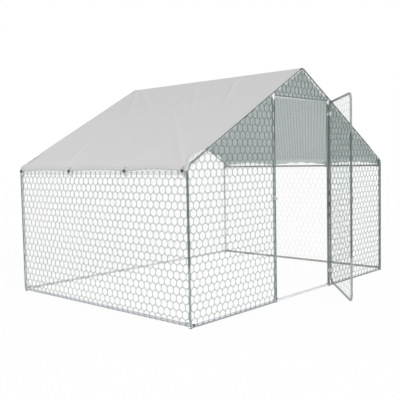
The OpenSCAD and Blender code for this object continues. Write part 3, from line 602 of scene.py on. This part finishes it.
class Wall:
    """Where a net hangs: the plane of the tubes' centres, its knit, its borders, and its lifts over fittings."""

    def __init__(self, origin, across, up, tube_r, knit, borders, lifts=()):
        self.origin, self.across, self.up = np.array(origin), np.array(across), np.array(up)
        self.knit, self.borders, self.lifts = knit, borders, lifts
        self.seat = tube_r + NET_GAP + knit["Wire radius"] + knit["Twist radius"]

    def cut_lines(self):
        """Point and outward direction of each line where the flat net ends."""
        return [(b.point + b.outward * b.wrap * (self.seat + b.depth), b.outward) for b in self.borders]

    def place(self, flat):
        """Points of flat netting, wrapped round the border tubes and set on the wall."""
        plane, height = flat[:, :2].copy(), flat[:, 2] + self.seat
        for a, half_a, b, half_b, lift in self.lifts:
            near_a = np.clip(LIFT_REACH - np.abs(plane[:, 0] - a) / half_a, 0, 1)
            near_b = np.clip(LIFT_REACH - np.abs(plane[:, 1] - b) / half_b, 0, 1)
            height = height + lift * (near_a * near_b)
        for border in sorted(self.borders, key=lambda b: b.depth):
            past = (plane - border.point) @ border.outward
            over = past > 0
            angle = past[over] / (self.seat + border.depth)
            radius = height[over] + border.depth
            plane[over] += border.outward * (radius * np.sin(angle) - past[over])[:, None]
            height[over] = radius * np.cos(angle) - border.depth
        placed = self.origin + np.outer(plane[:, 0], self.across) + np.outer(plane[:, 1], self.up)
        return placed + np.outer(height, np.cross(self.across, self.up))


def hang_net(name, body, wall, anchor, finish, replaced, gaps=(), lean=0.0):
    """Netting with a cell at anchor, leaning a little, trimmed at the wall's borders; gaps are left open."""
    anchor = np.array(anchor)
    corners = line_corners(wall.cut_lines())
    low, high = corners.min(0) - NET_SPARE, corners.max(0) + NET_SPARE
    reach = np.maximum(np.abs(high - anchor), np.abs(low - anchor))
    columns = 2 * int(math.ceil(reach[0] / wall.knit["Cell width"])) + 1
    rows = 2 * int(math.ceil(reach[1] / wall.knit["Row pitch"])) + 1
    values = {"Columns": columns, "Rows": rows, "Centre": (*anchor, 0.0), "Finish": finish, **wall.knit}
    piece = grow("wire_" + name, wire_tree, values)
    shape = bmesh.new()
    shape.from_mesh(piece.data)
    for vert in shape.verts:
        vert.co.x += lean * (vert.co.y - anchor[1])
    for far, outward in wall.cut_lines():
        cut = bmesh.ops.bisect_plane(
            shape,
            geom=shape.verts[:] + shape.edges[:] + shape.faces[:],
            plane_co=(*far, 0),
            plane_no=(*outward, 0),
            clear_outer=True,
        )
        ends = [e for e in cut["geom_cut"] if isinstance(e, bmesh.types.BMEdge)]
        bmesh.ops.holes_fill(shape, edges=ends, sides=8)
    for a0, a1, b0, b1 in gaps:
        inside = [v for v in shape.verts if a0 < v.co.x < a1 and b0 < v.co.y < b1]
        bmesh.ops.delete(shape, geom=inside, context="VERTS")
    bmesh.ops.holes_fill(shape, edges=[e for e in shape.edges if e.is_boundary], sides=8)
    shape.to_mesh(piece.data)
    shape.free()
    flat = np.empty(len(piece.data.vertices) * 3)
    piece.data.vertices.foreach_get("co", flat)
    piece.data.vertices.foreach_set("co", wall.place(flat.reshape(-1, 3)).ravel())
    piece.data.update()
    settle(piece, body, replaced)
    strip = edge_mesh("edge_" + name, wall, gaps)
    strip.materials.append(finish)
    pale = [min(1.0, max(0.0, (EDGE_PALE_H - v.co.z) / EDGE_PALE_FADE)) for v in strip.vertices]
    strip.attributes.new("twist", "FLOAT", "POINT").data.foreach_set("value", pale)
    settle(add_object("edge_" + name, strip), body)


def edge_mesh(name, wall, gaps):
    """Two wires twisted together along each finished edge of a net, open where the net is."""
    wire_r, twist_r = wall.knit["Wire radius"], wall.knit["Twist radius"]
    corners = line_corners(wall.cut_lines())
    angles = [math.pi / 4 + corner * math.pi / 2 for corner in range(4)]
    out = np.array([0, 0, 1.0])
    shape = bmesh.new()
    for i, border in enumerate(wall.borders):
        start, end = corners[i - 1], corners[i]
        if not border.edged:
            continue
        steps = max(2, int(np.linalg.norm(end - start) / EDGE_TWIST * 4))
        shares = np.linspace(0, 1, steps + 1)
        line = start + np.outer(shares, end - start) - border.outward * (wire_r + twist_r)
        shut = np.zeros(len(line), bool)
        for a0, a1, b0, b1 in gaps:
            shut |= (line[:, 0] > a0) & (line[:, 0] < a1) & (line[:, 1] > b0) & (line[:, 1] < b1)
        runs = [run[~shut[run]] for run in np.split(np.arange(len(line)), np.flatnonzero(shut))]
        side = np.array([*border.outward, 0.0])
        for phase in (0.0, math.pi):
            turn = phase + np.arange(len(line)) * math.pi / 2
            middle = np.column_stack([line, np.zeros(len(line))])
            middle += twist_r * (np.outer(np.cos(turn), side) + np.outer(np.sin(turn), out))
            seams = [wall.place(middle + wire_r * (math.cos(a) * side + math.sin(a) * out)) for a in angles]
            for run in runs:
                if len(run) < 2:
                    continue
                rings = skin(shape, [seam[run] for seam in seams], around=False, closed=True)
                for tip in (0, -1):
                    shape.faces.new([ring[tip] for ring in rings])
    return keep_shape(shape, name)


def line_corners(lines):
    """Corners where each line of a ring meets the next one; lines are (point, outward) pairs."""
    corners = []
    for (p, one), (q, two) in zip(lines, lines[1:] + lines[:1]):
        corners.append(np.linalg.solve(np.array([one, two]), [one @ p, two @ q]))
    return np.array(corners)


def shoulder_borders(mirror, wrap):
    """Borders along the shoulder's bend and the rafter of the left slope, or of the right one."""
    made = []
    for share in (0.34, 0.67, 1.0):
        turn = TURN * share
        point = [BEND_R * (1 - math.cos(turn)), BEND_Z + BEND_R * math.sin(turn)]
        side = [-math.cos(turn), math.sin(turn)]
        if mirror:
            point[0], side[0] = RUN_W - point[0], -side[0]
        made.append(Border(point, side, wrap))
    return made


UP = (0, 0, 1)
RAFTERS = ["rafter_front_left", "rafter_front_right", "rafter_back_left", "rafter_back_right"]

# Angles by which nets wrap round the corner posts, the rails, the front rails, the door posts and the door's tubes
CORNER_WRAP = 0.7
RAIL_WRAP = 2.2
FRONT_WRAP = 0.9
POST_WRAP = 0.4
DOOR_CORNER_WRAP = 1.0
DOOR_END_WRAP = 1.7
FREE_STILE_WRAP = 1.5

# Middle cells of the knits, and how much the nets lean
SIDE_CELL = (0.959, 0.5085)
FRONT_CELL = (0.505, 0.5103)
RIGHT_CELL_H = 0.5255
GABLE_ROWS = 22
SIDE_LEAN = 0.05
FRONT_LEAN = 0.018

# Places of the saddles, half sizes of what is left open for saddles, sleeves and the bolt, and the lift at sleeves
SADDLE_AT = 0.028
SADDLE_GAP = 0.0145
SLEEVE_GAP = (0.015, 0.024)
BOLT_GAP = (0.03, 0.012)
SLEEVE_LIFT = 0.0024


def opening(x, z, half_x, half_z):
    """Rectangle left open round a place, as a net's gap."""
    return (x - half_x, x + half_x, z - half_z, z + half_z)


def make_nets():
    """All the nets of the frame's walls, shoulders and roof, and the door's net."""
    base = Border((0, BASE_H), (0, -1), RAIL_WRAP)
    front_base = Border((0, FRONT_H), (0, -1), FRONT_WRAP)
    apex = Border((RUN_W / 2, PEAK_Z), (0, 1), CORNER_WRAP)
    left, right = shoulder_borders(False, CORNER_WRAP), shoulder_borders(True, CORNER_WRAP)

    sides = (("left", 1, 0.0, NEAR_KNIT, near_wire), ("right", -1, RUN_W, FAR_KNIT, far_wire))
    for side, sign, x, knit, finish in sides:
        across = (0, -sign, 0)
        start = RUN_D if sign > 0 else 0.0
        posts = [Border((RUN_D, 0), (1, 0), CORNER_WRAP), Border((0, 0), (-1, 0), CORNER_WRAP)]
        ring = [posts[0], Border((0, BEND_Z), (0, 1), TURN, BEND_R, edged=False), posts[1], base]
        wall = Wall((x, start, 0), across, UP, TUBE_R, knit, ring)
        replaced = ["net_" + side, "net_shoulder_" + side]
        hang_net(side, "frame", wall, SIDE_CELL, finish, replaced, lean=SIDE_LEAN)
        slope = (sign * math.cos(PITCH), 0, math.sin(PITCH))
        ridge = Border((0, RAFTER_LEN), (0, 1), PITCH, PEAK_R, edged=False)
        ring = [posts[0], ridge, posts[1], Border((0, 0), (0, -1), 0.0, edged=False)]
        roof = Wall((x + sign * SLOPE_X, start, SLOPE_Z), across, slope, TUBE_R, ROOF_KNIT, ring)
        hang_net("roof_" + side, "frame", roof, (RUN_D / 2, RAFTER_LEN / 2), roof_wire, ["net_roof_" + side])

    def post(x, outward, wrap=POST_WRAP):
        """Border along an upright tube."""
        return Border((x, 0), (outward, 0), wrap)

    saddles = [(x - SADDLE_GAP, x + SADDLE_GAP, -0.05, BASE_H + 0.012) for x in (SADDLE_AT, RUN_W - SADDLE_AT)]
    sleeves = [opening(x, LINTEL_H, *SLEEVE_GAP) for x in (POST_LEFT_X, POST_RIGHT_X)]
    lifts = [(x, 0.02, LINTEL_H, 0.03, SLEEVE_LIFT) for x in (POST_LEFT_X, POST_RIGHT_X)]
    bolt = opening(POST_LEFT_X, LATCH_H, *BOLT_GAP)
    hinges = [(POST_RIGHT_X - 0.03, POST_RIGHT_X + 0.016, h - 0.014, h + 0.023) for h in HINGE_HEIGHTS]
    gable_low = Border((0, LINTEL_H + 0.006), (0, -1), 0.0)

    def front_net(name, knit, cell, ring, gaps, lifts):
        """Net of the front wall."""
        wall = Wall((0, 0, 0), (1, 0, 0), UP, TUBE_R, knit, ring, lifts)
        hang_net(name, "frame", wall, cell, near_wire, ["net_" + name], gaps, lean=FRONT_LEAN)

    ring = [post(POST_LEFT_X, 1), *left[::-1], post(0, -1, CORNER_WRAP), front_base]
    front_net("front_left", NEAR_KNIT, FRONT_CELL, ring, [bolt, sleeves[0], saddles[0]], lifts[:1])
    ring = [post(RUN_W, 1, CORNER_WRAP), *right, post(POST_RIGHT_X, -1), front_base]
    cell = (RUN_W - FRONT_CELL[0], RIGHT_CELL_H)
    front_net("front_right", RIGHT_KNIT, cell, ring, [*hinges, sleeves[1], saddles[1]], lifts[1:])
    ring = [post(POST_RIGHT_X, 1), right[2], apex, left[2], post(POST_LEFT_X, -1), gable_low]
    cell = (RUN_W / 2, FRONT_CELL[1] + GABLE_ROWS * MESH_ROW)
    front_net("gable", NEAR_KNIT, cell, ring, sleeves, lifts)
    ring = [post(RUN_W, 1, CORNER_WRAP), *right, apex, *left[::-1], post(0, -1, CORNER_WRAP), base]
    back = Wall((RUN_W, RUN_D, 0), (-1, 0, 0), UP, TUBE_R, FAR_KNIT, ring)
    hang_net("back", "frame", back, (RUN_W / 2, FRONT_CELL[1]), far_wire, ["net_back"], saddles)
    make_door_net()


def make_door_net():
    """Net on the door's outer face, wrapped round its tube and left open at the hinges and the latch."""
    corner = DOOR_CORNER_R * (1 - math.sqrt(0.5))
    near, far, low, high = -corner, corner - DOOR_W, DOOR_LOW + corner, DOOR_HIGH - corner
    borders = [
        Border((0, 0), (1, 0), CORNER_WRAP),
        Border((near, high), (1, 1), DOOR_CORNER_WRAP),
        Border((0, DOOR_HIGH), (0, 1), DOOR_END_WRAP),
        Border((far, high), (-1, 1), DOOR_CORNER_WRAP),
        Border((-DOOR_W, 0), (-1, 0), FREE_STILE_WRAP),
        Border((far, low), (-1, -1), DOOR_CORNER_WRAP),
        Border((0, DOOR_LOW), (0, -1), DOOR_END_WRAP),
        Border((near, low), (1, -1), DOOR_CORNER_WRAP),
    ]
    gaps = [(-0.014, 0.02, h - 0.014, h + 0.022) for h in HINGE_HEIGHTS]
    gaps.append((-DOOR_W - 0.02, -DOOR_W + 0.062, LATCH_H - 0.024, LATCH_H + 0.024))
    across = (math.cos(DOOR_OPEN), math.sin(DOOR_OPEN), 0)
    wall = Wall((POST_RIGHT_X, -HINGE_OUT, 0), across, UP, DOOR_R, DOOR_KNIT, borders)
    hang_net("door", "door", wall, (-DOOR_W / 2, FRONT_CELL[1]), door_wire, ["door_net"], gaps)


def cover_profile(s):
    """Point and outward normal of the cover in the front view, at a length from the left hem; arrays of both."""
    mirror = s > HALF_SPAN
    t = np.where(mirror, SPAN - s, s)
    shoulder = HEM_ANGLE + t / COVER_BEND_R
    slope = t - SHOULDER_ARC
    ridge = PITCH - (slope - RAFTER_LEN) / COVER_PEAK_R
    turn = np.where(slope < 0, shoulder, np.where(slope < RAFTER_LEN, TURN, math.pi / 2 - ridge))
    normal = np.stack([-np.cos(turn), np.sin(turn)], 1)
    on_bend = np.array([BEND_R, BEND_Z]) + COVER_BEND_R * normal
    on_slope = np.array([SLOPE_X, SLOPE_Z]) + COVER_OFF * normal
    on_slope = on_slope + np.outer(slope, [math.cos(PITCH), math.sin(PITCH)])
    on_ridge = np.array([RUN_W / 2, PEAK_Z - PEAK_R]) + COVER_PEAK_R * normal
    point = np.where((slope < 0)[:, None], on_bend, np.where((slope < RAFTER_LEN)[:, None], on_slope, on_ridge))
    point[mirror, 0] = RUN_W - point[mirror, 0]
    normal[mirror, 0] *= -1
    return point, normal


def hem_rise(y, right=False):
    """How far the hem is drawn up between two ties, at a place along the run; the right hem is wavy too."""
    rise = np.zeros_like(y)
    for start, end in zip(TIE_YS, TIE_YS[1:]):
        share = np.clip((y - start - HEM_FLAT) / (end - start - 2 * HEM_FLAT), 0, 1)
        wave = HEM_WAVE * np.sin(2 * math.pi * y / 0.22 + 2 * np.sin(3.1 * y)) ** 2 if right else 0.0
        rise = np.maximum(rise, (SCALLOP + wave) * 4 * share * (1 - share))
    return rise


def edge_cut(s):
    """How far the front and back edges are hollowed beside the corners, at a length along the span."""
    length = NOTCH_LEN + NOTCH_LOW
    depth = np.where(s > HALF_SPAN, NOTCH_DEPTH_RIGHT, NOTCH_DEPTH)
    radius = (length**2 / 4 + depth**2) / (2 * depth)
    t = np.minimum(s, SPAN - s) - SHOULDER_ARC - NOTCH_LEN + length / 2
    return np.clip(depth - radius + np.sqrt(np.clip(radius**2 - t**2, 0, None)), 0, None)


# Folds pulled in the cloth: from and to places as (share up the slope, distance from the front), height, half width
FOLDS = [
    ((0.02, 0.03), (0.60, 0.93), 0.0032, 0.021),
    ((0.02, 1.34), (0.58, 1.74), 0.0038, 0.022),
    ((0.99, 1.98), (0.60, 1.50), 0.0052, 0.020),
    ((0.99, 1.95), (0.64, 1.24), 0.0052, 0.021),
    ((0.90, 1.05), (0.44, 0.51), 0.0036, 0.026),
    ((0.72, 1.00), (0.50, 0.62), 0.0024, 0.020),
    ((0.92, 0.60), (0.56, 0.34), 0.0045, 0.022),
    ((0.86, 0.34), (0.74, 0.12), 0.0026, 0.018),
    ((0.02, 0.62), (0.34, 0.50), 0.0022, 0.020),
    ((0.02, 1.96), (0.40, 1.62), 0.0025, 0.020),
]


def fold_lift(s, y):
    """Height of the folds, each dying away along its line; the right slope has them the other way round."""
    right = s > HALF_SPAN
    up = np.where(right, SPAN - s, s)
    place = np.stack([up, np.where(right, RUN_D - y, y)], 1)
    lift = np.zeros_like(s)
    for (u0, y0), (u1, y1), height, width in FOLDS:
        start, end = np.array([u0 * HALF_SPAN, y0]), np.array([u1 * HALF_SPAN, y1])
        line = end - start
        share = np.clip((place - start) @ line / (line @ line), 0, 1)
        away = np.linalg.norm(place - start - share[:, None] * line, axis=1)
        lift += height * np.exp(-((away / width) ** 2)) * np.clip(share / 0.06, 0, 1) * (1 - share) ** 0.6
    return lift


def cover_lift(s, y):
    """How far the cloth stands proud: folds, pulls from the ties, slack at the hem and soft ripples.

    Heights are in metres, and the numbers in the sines are the turns of waves along the run and the span.
    """
    t = np.minimum(s, SPAN - s)
    near_hem = np.exp(-((t / 0.11) ** 2))
    slack = hem_rise(y) / SCALLOP
    pulls = sum(
        np.exp(-(((y - tie) / (0.018 + 0.35 * t)) ** 2)) * np.cos((y - tie) / (0.011 + 0.12 * t)) * np.exp(-t / 0.22)
        for tie in TIE_YS
    )
    ripple = np.sin(y * 23 + 3 * np.sin(s * 2.1)) * np.sin(y * 9.7 + s * 5) * near_hem
    swell = 0.5 + 0.5 * np.sin(math.pi * np.clip(y / RUN_D, 0, 1)) * np.sin(s * 6.3 + np.sin(y * 4))
    drape = 0.0006 + 0.0035 * slack * near_hem + 0.0012 * np.abs(pulls) + 0.0009 * ripple**2 + 0.0008 * swell
    return drape + fold_lift(s, y)


def cover_points(s, y, proud=0.0):
    """Places on the cover, in the part's frame, with their normals."""
    flat, normal = cover_profile(s)
    lifted = flat + normal * (cover_lift(s, y) + proud)[:, None]
    points = np.stack([lifted[:, 0], y, lifted[:, 1]], 1)
    return points, np.stack([normal[:, 0], np.zeros_like(y), normal[:, 1]], 1)


def span_steps():
    """Lengths along the span at which the cover has rows of points, closer on the bends and hollows."""
    on_bend, on_slope, on_ridge = COVER_ROWS
    bend = np.linspace(0, SHOULDER_ARC + NOTCH_LEN + NOTCH_LOW, on_bend)
    slope = np.linspace(bend[-1], SHOULDER_ARC + RAFTER_LEN, on_slope)[1:]
    ridge = np.linspace(slope[-1], HALF_SPAN, on_ridge)[1:]
    half = np.concatenate([bend, slope, ridge])
    return np.concatenate([half, SPAN - half[-2::-1]])


def cover_grid(shares_s, shares_y):
    """Points of the cover at shares across its span and along its run, inside its cut outline."""
    s, y = (g.ravel() for g in np.meshgrid(shares_s * SPAN, shares_y, indexing="ij"))
    cut = edge_cut(s)
    y = -COVER_OVER + cut + y * (RUN_D + 2 * (COVER_OVER - cut))
    rise, rise_right = hem_rise(y), hem_rise(y, right=True)
    s = rise + s / SPAN * (SPAN - rise - rise_right)
    return cover_points(s, y)[0], s, y


def grid_mesh(name, points, maps, rows, columns):
    """Mesh of a grid of points, with its own map in metres."""
    index = np.arange(rows * columns).reshape(rows, columns)
    faces = np.stack([index[:-1, :-1], index[1:, :-1], index[1:, 1:], index[:-1, 1:]], -1).reshape(-1, 4)
    mesh = bpy.data.meshes.new(name)
    mesh.from_pydata(points.tolist(), [], faces.tolist())
    layer = mesh.uv_layers.new(name="cloth")
    layer.data.foreach_set("uv", maps[faces.ravel()].ravel())
    mesh.shade_smooth()
    return mesh


def add_cloth(name, mesh, thickness, materials):
    """Cloth object with a thickness on both sides of its mesh."""
    for material in materials:
        mesh.materials.append(material)
    cloth = add_object(name, mesh)
    body = cloth.modifiers.new("Thickness", "SOLIDIFY")
    body.thickness = thickness
    body.offset = 0
    body.material_offset = len(materials) - 1
    return cloth


def make_cover():
    """Roof cover with its folded hems, rows of stitches and eyelets."""
    shares = span_steps() / SPAN
    along = np.linspace(0, 1, COVER_COLUMNS)
    points, s, y = cover_grid(shares, along)
    cover = add_cloth(
        "roof_cover_cloth",
        grid_mesh("roof_cover_cloth", points, np.stack([s, y], 1), len(shares), len(along)),
        COVER_T,
        [cover_outside, cover_inside],
    )
    settle(cover, "frame", ["roof_cover"])
    hems = make_hems()
    stitches = make_stitches()
    eyelets = make_eyelets()


def hem_lines(inset):
    """Lines along the cover's four edges at a distance inside them, as (length, place) pairs of arrays."""
    side = np.linspace(0, 1, HEM_COLUMNS)
    y = -COVER_OVER + inset + side * (RUN_D + 2 * (COVER_OVER - inset))
    lines = []
    for right in (False, True):
        s = hem_rise(y, right) + inset
        lines.append((SPAN - s if right else s, y))
    s = np.concatenate([span_steps()[:-1], [SPAN]])
    s = np.interp(np.linspace(0, len(s) - 1, 3 * len(s)), np.arange(len(s)), s)
    s = np.clip(s, inset, SPAN - inset)
    for back in (False, True):
        front = -COVER_OVER + edge_cut(s) + inset
        lines.append((s, RUN_D - front if back else front))
    return lines


def make_hems():
    """Folded bands along the four edges, on top of the cover."""
    shape = bmesh.new()
    maps = []
    for (s0, y0), (s1, y1) in zip(hem_lines(HEM_INSET), hem_lines(HEM_W)):
        rows = []
        for share in (0.0, 0.25, 0.5, 0.75, 1.0):
            s, y = s0 + (s1 - s0) * share, y0 + (y1 - y0) * share
            crown = COVER_T / 2 + HEM_CROWN + HEM_CROWN * math.sin(math.pi * share)
            rows.append(cover_points(s, y, crown)[0])
            maps.append(np.stack([s, y], 1))
        skin(shape, rows, around=False)
    mesh = keep_shape(shape, "cover_hems")
    maps = np.concatenate(maps)
    corner = np.empty(len(mesh.loops), int)
    mesh.loops.foreach_get("vertex_index", corner)
    mesh.uv_layers.new(name="cloth").data.foreach_set("uv", maps[corner].ravel())
    hems = add_cloth("cover_hems", mesh, HEM_T, [cover_outside])
    return settle(hems, "frame")


def lathe_mesh(name, profile, sides, closed=False):
    """Mesh turned round z from (radius, height) points; a zero radius closes the end."""
    shape = bmesh.new()
    turns = [2 * math.pi * i / sides for i in range(sides)]
    rings = [
        [(radius * math.cos(a), radius * math.sin(a), height) for a in (turns if radius else turns[:1])]
        for radius, height in profile
    ]
    skin(shape, rings, closed=closed)
    mesh = keep_shape(shape, name)
    mesh.uv_layers.new(name="cloth")
    return mesh


def facing(direction, along=None):
    """Euler turn that points z along a direction, and x along a second one where it is given."""
    z = Vector(direction).normalized()
    if along is None:
        return tuple(z.to_track_quat("Z", "Y").to_euler())
    x = (Vector(along) - z * Vector(along).dot(z)).normalized()
    return tuple(Matrix((x, z.cross(x), z)).transposed().to_euler())


STITCH_PITCH = 0.0085
STITCH_ROWS = (0.006, HEM_W - 0.004)
STITCH_PROUD = COVER_T / 2 + 0.0017


def stitch_mesh():
    """Low oval loop of thread, with its length along x."""
    shape = bmesh.new()
    bmesh.ops.create_icosphere(shape, subdivisions=1, radius=1)
    bmesh.ops.scale(shape, vec=(0.0030, 0.0006, 0.0005), verts=shape.verts)
    mesh = keep_shape(shape, "stitch", smooth=False)
    mesh.uv_layers.new(name="cloth")
    return mesh


def make_stitches():
    """Two rows of stitches along each hem."""
    places = []
    for inset in STITCH_ROWS:
        for s, y in hem_lines(inset):
            points, normals = cover_points(s, y, STITCH_PROUD)
            gone = np.concatenate([[0], np.cumsum(np.linalg.norm(np.diff(points, axis=0), axis=1))])
            for at in np.arange(STITCH_PITCH, gone[-1] - STITCH_PITCH, STITCH_PITCH):
                i = min(int(np.searchsorted(gone, at)), len(gone) - 1)
                step = points[i] - points[i - 1]
                if np.linalg.norm(step) < 1e-6:
                    continue
                share = (at - gone[i - 1]) / (gone[i] - gone[i - 1])
                places.append((points[i - 1] + share * step, facing(normals[i], step)))
    return repeat("cover_stitches", stitch_mesh(), places, stitch_grey)


def make_eyelets():
    """Rolled metal rings pressed through the hem."""
    profile = [
        (0.0045, -0.0016), (0.0062, -0.0018), (0.0078, -0.0014), (0.0080, -0.0009), (0.0056, -0.0009),
        (0.0056, 0.0019), (0.0080, 0.0019), (0.0079, 0.0025), (0.0066, 0.0030), (0.0052, 0.0029), (0.0045, 0.0024),
    ]
    ring = lathe_mesh("eyelet", profile, 24, closed=True)
    s = np.full(len(TIE_YS), COVER_BEND_R * (EYELET_ANGLE - HEM_ANGLE))
    places = []
    for along in (s, SPAN - s):
        places += [(p, facing(n)) for p, n in zip(*cover_points(along, np.array(TIE_YS)))]
    return repeat("cover_rings", ring, places, fitting_zinc, ["cover_eyelets"])


def shoulder_point(angle, radius):
    """Place round the left shoulder's bend in the front view, at an angle up from the eave."""
    return (BEND_R - radius * math.cos(angle), BEND_Z + radius * math.sin(angle))


BALL_X, BALL_Z = shoulder_point(HEM_ANGLE, BEND_R + TUBE_R + 0.0053 + BALL_R + 0.0001)
TIE_ROUTE = [
    (BALL_X, BALL_Z),
    shoulder_point(EYELET_ANGLE, COVER_BEND_R + 0.0055),
    shoulder_point(EYELET_ANGLE, COVER_BEND_R - 0.0072),
    (TUBE_R + 0.004, EAVE_H + TUBE_R),
    (TUBE_R + 0.004, EAVE_H - CORD_R),
    (0.004, EAVE_H - TUBE_R - 0.005),
    (-TUBE_R - 0.0075, EAVE_H - TUBE_R - 0.004),
]


def loop_mesh():
    """Closed loop of cord through the eyelet and round the eave rail, smoothed along its route."""
    guide = bpy.data.curves.new("tie_loop", "CURVE")
    guide.dimensions = "3D"
    guide.bevel_depth = CORD_R
    guide.bevel_resolution = 3
    guide.resolution_u = 6
    spline = guide.splines.new("NURBS")
    route = [
        (x0 + (x1 - x0) * third / 3, z0 + (z1 - z0) * third / 3)
        for (x0, z0), (x1, z1) in zip(TIE_ROUTE, TIE_ROUTE[1:] + TIE_ROUTE[:1])
        for third in range(3)
    ]
    spline.points.add(len(route) - 1)
    for point, (x, z) in zip(spline.points, route):
        point.co = (x, 0, z, 1)
    spline.order_u = 4
    spline.use_cyclic_u = True
    holder = add_object("tie_loop", guide)
    mesh = evaluated_mesh(holder)
    bpy.data.objects.remove(holder)
    mesh.shade_smooth()
    return mesh


def ball_mesh():
    """Moulded ball with a parting line round its middle and a dimple for the cord at each end."""
    profile = [(0, -0.0088)]
    for step in range(-11, 12):
        lift = math.radians(step * 7)
        radius = BALL_R + (0.00025 if step == 0 else 0)
        profile.append((radius * math.cos(lift), radius * math.sin(lift)))
    profile.append((0, 0.0088))
    return lathe_mesh("tie_ball", profile, 28)


def make_ties():
    """Elastic loops and their balls on both eaves."""
    loops = [((0, y, 0), (0, 0, 0)) for y in TIE_YS] + [((RUN_W, y, 0), (0, 0, math.pi)) for y in TIE_YS]
    repeat("tie_loops", loop_mesh(), loops, cord_grey, ["cover_ties"])
    tilt = (0.0, math.radians(20), 0.0)
    balls = [((x, y, BALL_Z), tilt) for x in (BALL_X, RUN_W - BALL_X) for y in TIE_YS]
    repeat("tie_knobs", ball_mesh(), balls, plastic_black, ["tie_balls"])


def saddle_mesh():
    """Short plastic saddle that hugs a rail along x, from its top round its outer side."""
    half, inner, outer = 0.011, TUBE_R + 0.0001, 0.0024
    first, last = 118, -68
    turns = np.radians(np.linspace(first, last, 19))
    shape = bmesh.new()
    rings = []
    for i, turn in enumerate(turns):
        ease = 0.55 if i in (0, len(turns) - 1) else 1.0
        radii = (inner, inner, TUBE_R + outer * ease, TUBE_R + outer * ease)
        sides = (-half, half, half * 0.92, -half * 0.92)
        rings.append([(x, -r * math.cos(turn), r * math.sin(turn)) for x, r in zip(sides, radii)])
    rings = skin(shape, rings)
    for ring in (rings[0], rings[-1]):
        shape.faces.new(ring)
    mesh = keep_shape(shape, "saddle")
    mesh.set_sharp_from_angle(angle=math.radians(40))
    return mesh


def make_base_saddles():
    """Black saddles under the screws at the ends of the front and back rails."""
    ends = [SADDLE_AT, RUN_W - SADDLE_AT]
    places = [((x, 0.0, FRONT_H), (0.0, 0.0, 0.0)) for x in ends]
    places += [((x, RUN_D, BASE_H), (0.0, 0.0, math.pi)) for x in ends]
    repeat("base_saddles", saddle_mesh(), places, screw_black)


# Finishes of the other CAD nodes, by slot
NODE_FINISHES = {
    "frame_tube": rail_zinc,
    "door_tube": door_zinc,
    "bright_sleeve": sleeve_zinc,
    "wire_net": near_wire,
    "cover_fabric": cover_outside,
    "elastic_cord": cord_grey,
    "black_plastic": plastic_black,
    "dark_screw": screw_black,
    "zinc_fitting": fitting_zinc,
}

# Nodes with a tone of their own: lit and shaded copies of one zinc as painted light and shade, and a darker, browner
# zinc on the right rails
OWN_FINISHES = [
    (front_zinc, ["post_front_left"]),
    (shade_zinc, ["post_front_right", "door_post_right"]),
    (corner_zinc, ["post_back_left", "post_back_right"]),
    (tube_zinc, ["door_post_left"]),
    (right_rail_zinc, ["eave_rail_right", "base_rail_right"]),
    (rafter_zinc, RAFTERS),
    (lintel_zinc, ["peak_bend_front", "peak_bend_back", "lintel", "tee_right"]),
    (base_zinc, ["base_rail_left", "base_rail_back", "base_rail_front_left", "base_rail_front_right", "door_sill"]),
]


def finish_nodes():
    """Gives each CAD node its own tone of zinc where it has one, with its painted light and shade, or else the finish
    of its slot.
    """
    own = {name: finish for finish, names in OWN_FINISHES for name in names}
    for part in frame["record"]["subparts"]:
        node = nodes[part["node"]]
        node.data.materials.clear()
        node.data.materials.append(own.get(part["node"], NODE_FINISHES[part["material_slot"]]))


FLOOR_REACH = 30.0
FLOOR_GLOW = 0.93
SKY = 0.72


def seen_share(tree):
    """One for rays that show a surface to the eye, straight or in a mirror, and nought for those that light it."""
    rays = tree.put("ShaderNodeLightPath").outputs
    mirrored = tree.sum("MAXIMUM", rays["Is Glossy Ray"], rays["Is Transmission Ray"])
    return tree.sum("MAXIMUM", rays["Is Camera Ray"], mirrored)


def make_stage():
    """White floor that keeps a soft shadow, white surroundings and soft light from the front left."""
    floor_mesh = bpy.data.meshes.new("floor")
    corners = [(x * FLOOR_REACH, y * FLOOR_REACH, 0) for x, y in ((-1, -1), (1, -1), (1, 1), (-1, 1))]
    floor_mesh.from_pydata(corners, [], [(0, 1, 2, 3)])
    floor = add_object("floor", floor_mesh)
    floor.location.z = -0.0005
    material, tree, shader = new_material("floor_white")
    shader["Base Color"].default_value = (0.9, 0.9, 0.9, 1)
    shader["Roughness"].default_value = 0.9
    shader["Specular IOR Level"].default_value = 0.0
    made = material.node_tree.nodes
    glow = tree.shade("Emission", {"Color": (1, 1, 1, 1), "Strength": 1.0})
    glowing = tree.times(seen_share(tree), FLOOR_GLOW)
    surface = tree.shade("MixShader", {0: glowing, 1: made["Principled BSDF"].outputs[0], 2: glow})
    tree.link(surface, made["Material Output"].inputs["Surface"])
    floor_mesh.materials.append(material)

    world = bpy.data.worlds.new("studio")
    bpy.context.scene.world = world
    world.use_nodes = True
    tree = Tree(world.node_tree)
    background = world.node_tree.nodes["Background"].inputs
    background["Color"].default_value = (1, 1, 1, 1)
    tree.link(tree.scaled(seen_share(tree), 1.0 - SKY, SKY), background["Strength"])

    sun = bpy.data.lights.new("soft_sun", "SUN")
    sun.energy = 2.2
    sun.angle = math.radians(30)
    lamp = add_object("soft_sun", sun)
    lamp.rotation_euler = Vector((-0.25, -0.85, 0.45)).to_track_quat("Z", "Y").to_euler()
    bpy.context.scene.view_settings.view_transform = "Standard"


make_camera()
finish_nodes()
make_nets()
make_cover()
make_ties()
make_base_saddles()
make_stage()
